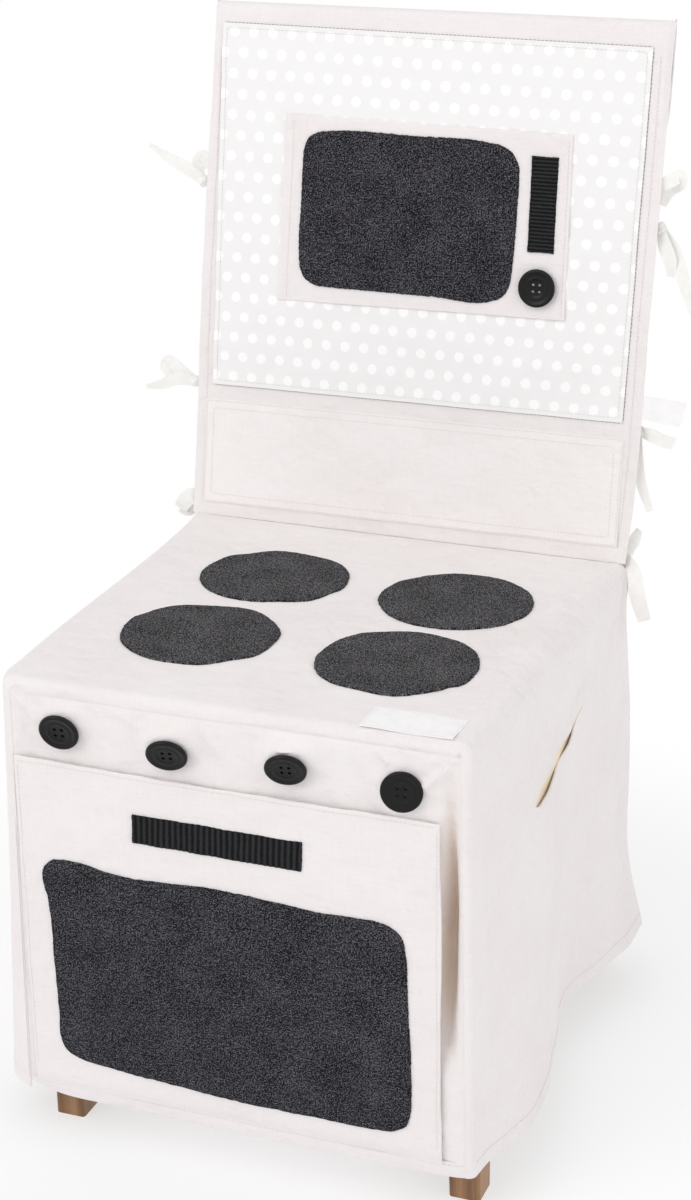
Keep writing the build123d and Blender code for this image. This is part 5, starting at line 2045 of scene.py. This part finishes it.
# ------------------------------------------------------------------ knobs
@dataclass(frozen=True)
class Knob:
    """Four-hole button with two ridges, turned about its thread."""

    node: str
    hole: float = 0.0015
    circle: float = 0.0044
    pale_thread: bool = False
    strand: float = 0.00045  # from the middle of a thread to each of its two strands
    reach: float = 0.14  # how far past its hole a thread goes, as a share
    sides: int = 72
    profile: tuple[Flat, ...] = (
        (0.0, 0.00285), (0.0066, 0.00290), (0.0080, 0.00315), (0.0088, 0.00375), (0.0094, 0.00395),
        (0.0101, 0.00372), (0.0110, 0.00362), (0.0125, 0.00372), (0.0135, 0.00405),
        (0.0145, 0.00452), (0.0156, 0.00460), (0.0166, 0.00430), (0.0173, 0.00350),
        (0.0175, 0.0025), (0.0173, 0.0012), (0.0165, 0.0003), (0.0150, 0.0), (0.0, 0.0),
    )

    def build(self) -> Object:
        """Build the button on the axis that its joint gives."""
        back, axis = knob_back(self.node)
        aside = axis.cross(Vector(UPWARD)).normalized() * -1.0
        up = axis.cross(aside)
        turned = Matrix((aside, up, axis)).transposed().to_4x4()
        place = Matrix.Translation(back) @ turned
        blank = self._blank()
        self._drill(blank)
        blank.data.transform(place)
        blank.data.shade_smooth()
        blank.data.set_sharp_from_angle(angle=math.radians(40))
        install(blank, self.node, "button_black", self.node)
        self._thread(place)
        return blank

    def _blank(self) -> Object:
        """The button before it is drilled, its back at height 0."""
        curve = np.array(self.profile)[1:-1]
        turns = np.linspace(0, math.tau, self.sides, endpoint=False)
        rings = np.stack([
            np.stack([r * np.cos(turns), r * np.sin(turns), np.full(self.sides, h)], axis=1)
            for r, h in curve[::-1]
        ])
        piece = Piece(f"button_{self.node}").grid(rings, None, wrap=True)
        piece.fan(rings[-1], np.array([0.0, 0.0, self.profile[0][1]]))
        piece.fan(rings[0], np.array([0.0, 0.0, 0.0]), flip=True)
        return piece.make(ButtonResin())

    def _drill(self, blank: Object) -> None:
        """Cut the four holes."""
        work = bmesh.new()
        for corner in range(4):
            angle = math.radians(45 + 90 * corner)
            place = Matrix.Translation(
                (self.circle * math.cos(angle), self.circle * math.sin(angle), KNOB_HALF))
            bmesh.ops.create_cone(work, cap_ends=True, segments=20, radius1=self.hole,
                                  radius2=self.hole, depth=0.008, matrix=place)
        mesh = bpy.data.meshes.new("drill")
        work.to_mesh(mesh)
        work.free()
        drill = linked("drill", mesh)
        cut = blank.modifiers.new("holes", "BOOLEAN")
        cut.operation = "DIFFERENCE"
        cut.solver = "EXACT"
        cut.object = drill
        settle(blank)
        bpy.data.objects.remove(drill)

    def _thread(self, place: Matrix) -> None:
        """Threads in the holes: pale ones that show, or dark ones low down."""
        near = self.circle * math.cos(math.radians(45))
        height = 0.0030 if self.pale_thread else 0.0012
        starts, stops = [], []
        for x, y in ((near, near), (-near, near), (-near, -near), (near, -near)):
            for strand in (-self.strand, self.strand):
                for spots, share in ((starts, 1 - self.reach), (stops, 1 + self.reach)):
                    spots.append(place @ Vector((x * share + strand, y * share, height)))
        axis = place.to_3x3() @ Vector(UPWARD)
        finish = PALE_THREAD if self.pale_thread else BLACK_THREAD
        thread = sewn(f"thread_{self.node}", np.array(starts), np.array(stops), np.array(axis),
                      finish, 0.0004)
        install(thread, self.node, "thread")


# ------------------------------------------------------------------ hob pieces
@dataclass(frozen=True)
class Hob:
    """Four felt rings and the blank label on the hob."""

    ground: HobGround
    burners: tuple[tuple[str, Flat, Flat], ...] = (
        ("burner_front_left", (-0.0894, -0.1153), (0.0697, 0.0655)),
        ("burner_front_right", (0.0934, -0.1185), (0.0699, 0.0670)),
        ("burner_rear_left", (-0.0825, 0.0329), (0.0693, 0.0630)),
        ("burner_rear_right", (0.0943, 0.0297), (0.0694, 0.0660)),
    )
    label: Span = (0.1085, 0.1875, -0.2474, -0.2084)

    def build(self) -> None:
        """Build the felt rings and the label."""
        turns = np.linspace(0, math.tau, 260, endpoint=False)
        round_edge = np.stack([np.cos(turns), np.sin(turns)], axis=1)
        for number, (node, centre, radii) in enumerate(self.burners):
            waver = Ripple(0.0005, 0.05, 101 + number)(*(round_edge.T * 0.07))
            outline = np.array(centre) + round_edge * (np.array(radii) + waver[:, None])
            felt = felt_piece(f"felt_{node}", self.ground, outline, BURNER_FELT, 0.0, COVER, node,
                              UPWARD)
        label = slab("label_cloth", self.ground, box_quad(*self.label), Satin(), 0.0007, ABOVE,
                     spacing=0.003, roll=0.0003)
        install(label, COVER, "label_satin", "label_patch")
        low_u, high_u, low_v, high_v = self.label
        inset = 0.002
        inside = (low_u + inset, high_u - inset, low_v + inset, high_v - inset)
        border = looped(rounded_outline(inside, 0.001, 300))
        seam("label_seam", self.ground.at(border[:, 0], border[:, 1], 0.0008), UPWARD, COVER,
             Thread("thread_white", (0.94, 0.94, 0.93)))


# ------------------------------------------------------------------ ties and tag
@dataclass(frozen=True)
class Band:
    """One loop or tail of a tie: its middle line on the leaning back, and its widths."""

    line: tuple[Flat, ...]
    widths: Row
    depths: Row = (0.010, 0.010)
    twist: Flat = (-0.25, 0.35)
    thickness: float = 0.0007

    def build(self, name: str, cover: Cover) -> Object:
        """Build the band as a ribbon with a fold line and a twist."""
        shares = np.linspace(0, 1, 56)
        path = smooth_path(self.line, len(shares))
        depth = hermite(np.linspace(0, 1, len(self.depths)), self.depths, shares)
        places = on_back(cover, path[:, 0], depth, path[:, 1])
        behind = np.array(BACKWARD)
        across = units(np.cross(np.gradient(places, axis=0), behind))
        across = units(across + np.interp(shares, (0, 1), self.twist)[:, None] * behind)
        width = hermite(np.linspace(0, 1, len(self.widths)), self.widths, shares)
        aside = np.linspace(-0.5, 0.5, 7) * width[:, None]
        points = places[:, None] + across[:, None] * aside[..., None]
        run = distances(places)
        flat = np.stack(np.broadcast_arrays(aside, run[:, None]), axis=-1)
        ribbon = Piece(name).grid(points, flat).make(Ribbon(), self.thickness)
        install(ribbon, COVER, "cotton_ribbon")
        return ribbon


@dataclass(frozen=True)
class Tie:
    """Ribbon tie at the side of the sleeve: loops and tails out of a knot."""

    cover: Cover
    node: str
    knot: Flat
    bands: tuple[Band, ...]
    size: float = 0.0060

    def build(self) -> None:
        """Build the bands and the knot; the first band stands for the CAD node."""
        for number, band in enumerate(self.bands):
            ribbon = band.build(f"{self.node}_ribbon_{number}", self.cover)
            if number == 0:
                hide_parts(self.node)
        self._knot()

    def _knot(self) -> None:
        """The knot as a crossed pair of plump wraps."""
        centre = np.ravel(on_back(self.cover, self.knot[0], 0.010, self.knot[1]))
        turns = np.linspace(0, math.tau, 28, endpoint=False)
        bands = np.linspace(0, math.tau, 14, endpoint=False)
        ring, band = np.meshgrid(turns, bands)
        piece = Piece(f"{self.node}_knot")
        for tilt, scale in ((0.6, 1.0), (-0.5, 0.85)):
            fold = 0.12 * np.sin(3 * band + tilt * 4)
            reach = self.size * scale * (0.62 + (0.36 + 0.05 * fold) * np.cos(band))
            x = reach * np.cos(ring)
            y = reach * np.sin(ring) * 0.8
            z = self.size * scale * 0.75 * np.sin(band)
            spin_x = x * math.cos(tilt) - z * math.sin(tilt)
            spin_z = x * math.sin(tilt) + z * math.cos(tilt)
            points = centre + np.stack([spin_x, y, spin_z], axis=-1)
            flat = np.stack([ring * 0.006, band * 0.003], axis=-1)
            piece.grid(looped(points), looped(flat), wrap=True)
        install(piece.make(Ribbon()), COVER, "cotton_ribbon")


FLAT_BAND = (0.0105, 0.0125, 0.0120, 0.0115)
POINTED = (0.0100, 0.0125, 0.0100, 0.0040)
LOOPED = (0.0060, 0.0115, 0.0120, 0.0110, 0.0060)


def ties(cover: Cover) -> tuple[Tie, ...]:
    """The six ties of the sleeve; places are x and height on the leaning back."""
    return (
        Tie(cover, "tie_left_top", (-0.2310, 0.3216), (
            Band(((-0.2314, 0.3226), (-0.2454, 0.3312), (-0.2657, 0.3413), (-0.2894, 0.3526)),
                 POINTED, (0.010, 0.006, 0.006, 0.010)),
            Band(((-0.2303, 0.3198), (-0.2379, 0.3278), (-0.2404, 0.3409), (-0.2331, 0.3451),
                  (-0.2286, 0.3341)), LOOPED, (0.010, 0.014, 0.016, 0.014, 0.011)),
        )),
        Tie(cover, "tie_left_middle", (-0.2335, 0.1282), (
            Band(((-0.2345, 0.1282), (-0.2517, 0.1296), (-0.2710, 0.1218), (-0.2873, 0.1183)),
                 POINTED, (0.010, 0.006, 0.007, 0.010)),
            Band(((-0.2345, 0.1292), (-0.2519, 0.1374), (-0.2683, 0.1438), (-0.2703, 0.1377),
                  (-0.2604, 0.1317), (-0.2388, 0.1278)), LOOPED, (0.011, 0.014, 0.018, 0.015)),
        )),
        Tie(cover, "tie_left_bottom", (-0.2250, 0.0140), (
            Band(((-0.2215, 0.0140), (-0.2314, 0.0159), (-0.2420, 0.0077), (-0.2484, -0.0001)),
                 (0.0110, 0.0150, 0.0155, 0.0135), (0.010, 0.004, 0.006, 0.012)),
            Band(((-0.2484, -0.0001), (-0.2445, -0.0030), (-0.2375, 0.0021), (-0.2236, 0.0108)),
                 (0.0100, 0.0130, 0.0120, 0.0090), (0.012, 0.020, 0.018, 0.011)),
        )),
        Tie(cover, "tie_right_top", (0.2187, 0.3090), (
            Band(((0.2196, 0.3091), (0.2253, 0.2943), (0.2310, 0.2795), (0.2311, 0.2661)),
                 (0.0080, 0.0125, 0.0120, 0.0060), (0.010, 0.006, 0.007, 0.012)),
            Band(((0.2160, 0.3300), (0.2180, 0.3462), (0.2258, 0.3512), (0.2345, 0.3553),
                  (0.2345, 0.3509), (0.2254, 0.3432), (0.2190, 0.3290)), LOOPED,
                 (0.008, 0.004, 0.008, 0.014, 0.012)),
            Band(((0.2206, 0.3074), (0.2308, 0.2938), (0.2420, 0.2678), (0.2529, 0.2327)),
                 POINTED, (0.011, 0.011, 0.011, 0.014)),
        )),
        Tie(cover, "tie_right_middle", (0.2134, 0.1228), (
            Band(((0.2143, 0.1229), (0.2247, 0.1221), (0.2364, 0.1177), (0.2450, 0.1149)),
                 FLAT_BAND, (0.010, 0.004, 0.006, 0.012)),
            Band(((0.2118, 0.1180), (0.2143, 0.0968), (0.2187, 0.0739), (0.2271, 0.0494)),
                 (0.0090, 0.0095, 0.0090, 0.0060), (0.010, 0.009, 0.010, 0.014)),
        )),
        Tie(cover, "tie_right_bottom", (0.2091, 0.0085), (
            Band(((0.2092, 0.0056), (0.2166, -0.0030), (0.2229, -0.0252), (0.2307, -0.0530)),
                 (0.0100, 0.0140, 0.0145, 0.0120), (0.008, 0.002, 0.002, 0.008)),
            Band(((0.2100, 0.0100), (0.2150, 0.0210), (0.2185, 0.0310)),
                 (0.0080, 0.0110, 0.0070), (0.010, 0.010, 0.014)),
        )),
    )


@dataclass(frozen=True)
class SideTag:
    """Blank folded tag caught in the sleeve's right edge."""

    cover: Cover
    quad: Quad = Quad((0.2130, 0.1367), (0.2530, 0.1333), (0.2578, 0.1558), (0.2143, 0.1581))

    def build(self) -> None:
        """Build the tag, slightly curled away from the edge."""
        share, rise = np.meshgrid(np.linspace(0, 1, 16), np.linspace(0, 1, 10))
        u, v = self.quad.at(share, rise)
        curl = 0.0035 * np.sin(share * 2.6) * (1 - 0.3 * rise)
        points = on_back(self.cover, u, 0.0006 - curl, v)
        flat = np.stack([u, v], axis=-1)
        tag = Piece("blank_tag").grid(points, flat).make(Satin(), 0.0006)
        install(tag, COVER, "label_satin", "side_tag")


# ------------------------------------------------------------------ studio
@dataclass(frozen=True)
class Studio:
    """Camera, floor, soft lamps and white surroundings."""

    eye: Place = (0.75474, -1.88535, 1.24844)
    yaw: float = math.radians(20.904)
    pitch: float = math.radians(21.868)
    roll: float = math.radians(-0.545)
    lens: float = 73.31
    shift: Flat = (-0.0301, 0.0107)
    daylight: float = 0.76
    aim: Place = (0.0, 0.0, 0.45)
    lamps: tuple[tuple[str, Place, float, float], ...] = (
        ("key", (-2.1, -3.2, 3.3), 2.2, 42.0),
        ("top", (-0.6, -2.0, 4.2), 2.0, 14.0),
        ("fill", (2.4, -1.2, 1.6), 1.8, 9.5),
    )

    def build(self) -> None:
        """Build all of the studio."""
        self._camera()
        self._floor()
        self._surroundings()
        for lamp in self.lamps:
            self._lamp(*lamp)

    def _camera(self) -> None:
        """Aim the camera."""
        ahead = Vector((-math.sin(self.yaw) * math.cos(self.pitch),
                        math.cos(self.yaw) * math.cos(self.pitch), -math.sin(self.pitch)))
        level = Vector((math.cos(self.yaw), math.sin(self.yaw), 0.0))
        upright = level.cross(ahead)
        right = math.cos(self.roll) * level + math.sin(self.roll) * upright
        up = -math.sin(self.roll) * level + math.cos(self.roll) * upright
        data = bpy.data.cameras.new("camera")
        data.sensor_width = 36.0
        data.sensor_fit = "AUTO"
        data.lens = self.lens
        data.shift_x, data.shift_y = self.shift
        data.clip_end = 30.0
        camera = linked("camera", data)
        axes = Matrix((right, up, -ahead)).transposed().to_4x4()
        camera.matrix_world = Matrix.Translation(self.eye) @ axes
        bpy.context.scene.camera = camera

    def _floor(self) -> None:
        """Pale floor that fades into the white surroundings."""
        shader = Shader("floor")
        x, y, _, vector = shader.place()
        away = (x * x + y * y).root()
        grain = shader.noise(vector, 6.0, 3.0)
        colour = shader.mix(grain * 0.06, (0.97, 0.97, 0.97), (0.955, 0.955, 0.955))
        matte = shader.node("ShaderNodeBsdfPrincipled", None, {
            "Base Color": colour, "Roughness": 0.9, "Specular IOR Level": 0.1})
        white = shader.node("ShaderNodeEmission", None, {"Color": WHITE, "Strength": 1.0})
        mixed = shader.node("ShaderNodeMixShader", None, {
            0: away.step(0.40, 0.80) * 0.42 + 0.58, 1: matte.outputs[0], 2: white.outputs[0]})
        shader.node("ShaderNodeOutputMaterial", None, {"Surface": mixed.outputs[0]})
        side = np.linspace(-6, 6, 9)
        u, v = np.meshgrid(side, side)
        points = np.stack([u, v, np.zeros_like(u)], axis=-1)
        mesh = bpy.data.meshes.new("floor")
        number = np.arange(u.size).reshape(u.shape)
        near, far = number[:-1], number[1:]
        faces = np.stack([near[:, :-1], near[:, 1:], far[:, 1:], far[:, :-1]], axis=-1)
        mesh.from_pydata(points.reshape(-1, 3).tolist(), [], faces.reshape(-1, 4).tolist())
        mesh.materials.append(shader.material)
        linked("floor", mesh)

    def _surroundings(self) -> None:
        """Soft even light, and plain white where the camera sees past the floor."""
        world = bpy.data.worlds.new("surroundings")
        bpy.context.scene.world = world
        shader = Shader(world.name, world)
        rays = shader.node("ShaderNodeLightPath")
        camera, glossy, clear = (
            shader.expr(rays, f"Is {kind} Ray") for kind in ("Camera", "Glossy", "Transmission")
        )
        soft, white = (
            shader.node("ShaderNodeBackground", None, {"Color": WHITE, "Strength": strength})
            for strength in (self.daylight, 1.0)
        )
        mixed = shader.node("ShaderNodeMixShader", None, {
            0: camera.larger(glossy).larger(clear), 1: soft.outputs[0], 2: white.outputs[0]})
        shader.node("ShaderNodeOutputWorld", None, {"Surface": mixed.outputs[0]})
        bpy.context.scene.view_settings.view_transform = "Standard"

    def _lamp(self, name: str, place: Place, size: float, power: float) -> None:
        """One soft square lamp aimed at the object."""
        data = bpy.data.lights.new(name, "AREA")
        data.shape = "SQUARE"
        data.size = size
        data.energy = power
        lamp = linked(name, data)
        lamp.location = place
        aim = Vector(self.aim) - Vector(place)
        lamp.rotation_euler = aim.to_track_quat("-Z", "Y").to_euler()


def main() -> None:
    """Build the whole toy oven on its frame."""
    logging.basicConfig(level=logging.INFO, format="%(message)s")
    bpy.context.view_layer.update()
    cover = Cover.from_frame()
    Studio().build()
    Chair().build()
    shell = Shell(cover)
    hob_ground = shell.build()
    Front(shell).build()
    BackSkirt(shell).build()
    SidePocket(shell).build()
    Sleeve(cover).build()
    OvenDoor(cover).build()
    Microwave(cover).build()
    for node in KNOBS:
        Knob(node).build()
    Knob("microwave_knob", pale_thread=True).build()
    for shank in ("knob_shanks", "microwave_shank"):
        dress(shank, BLACK_THREAD)
    Hob(hob_ground).build()
    for tie in ties(cover):
        tie.build()
    SideTag(cover).build()


if __name__ == "__main__":
    main()
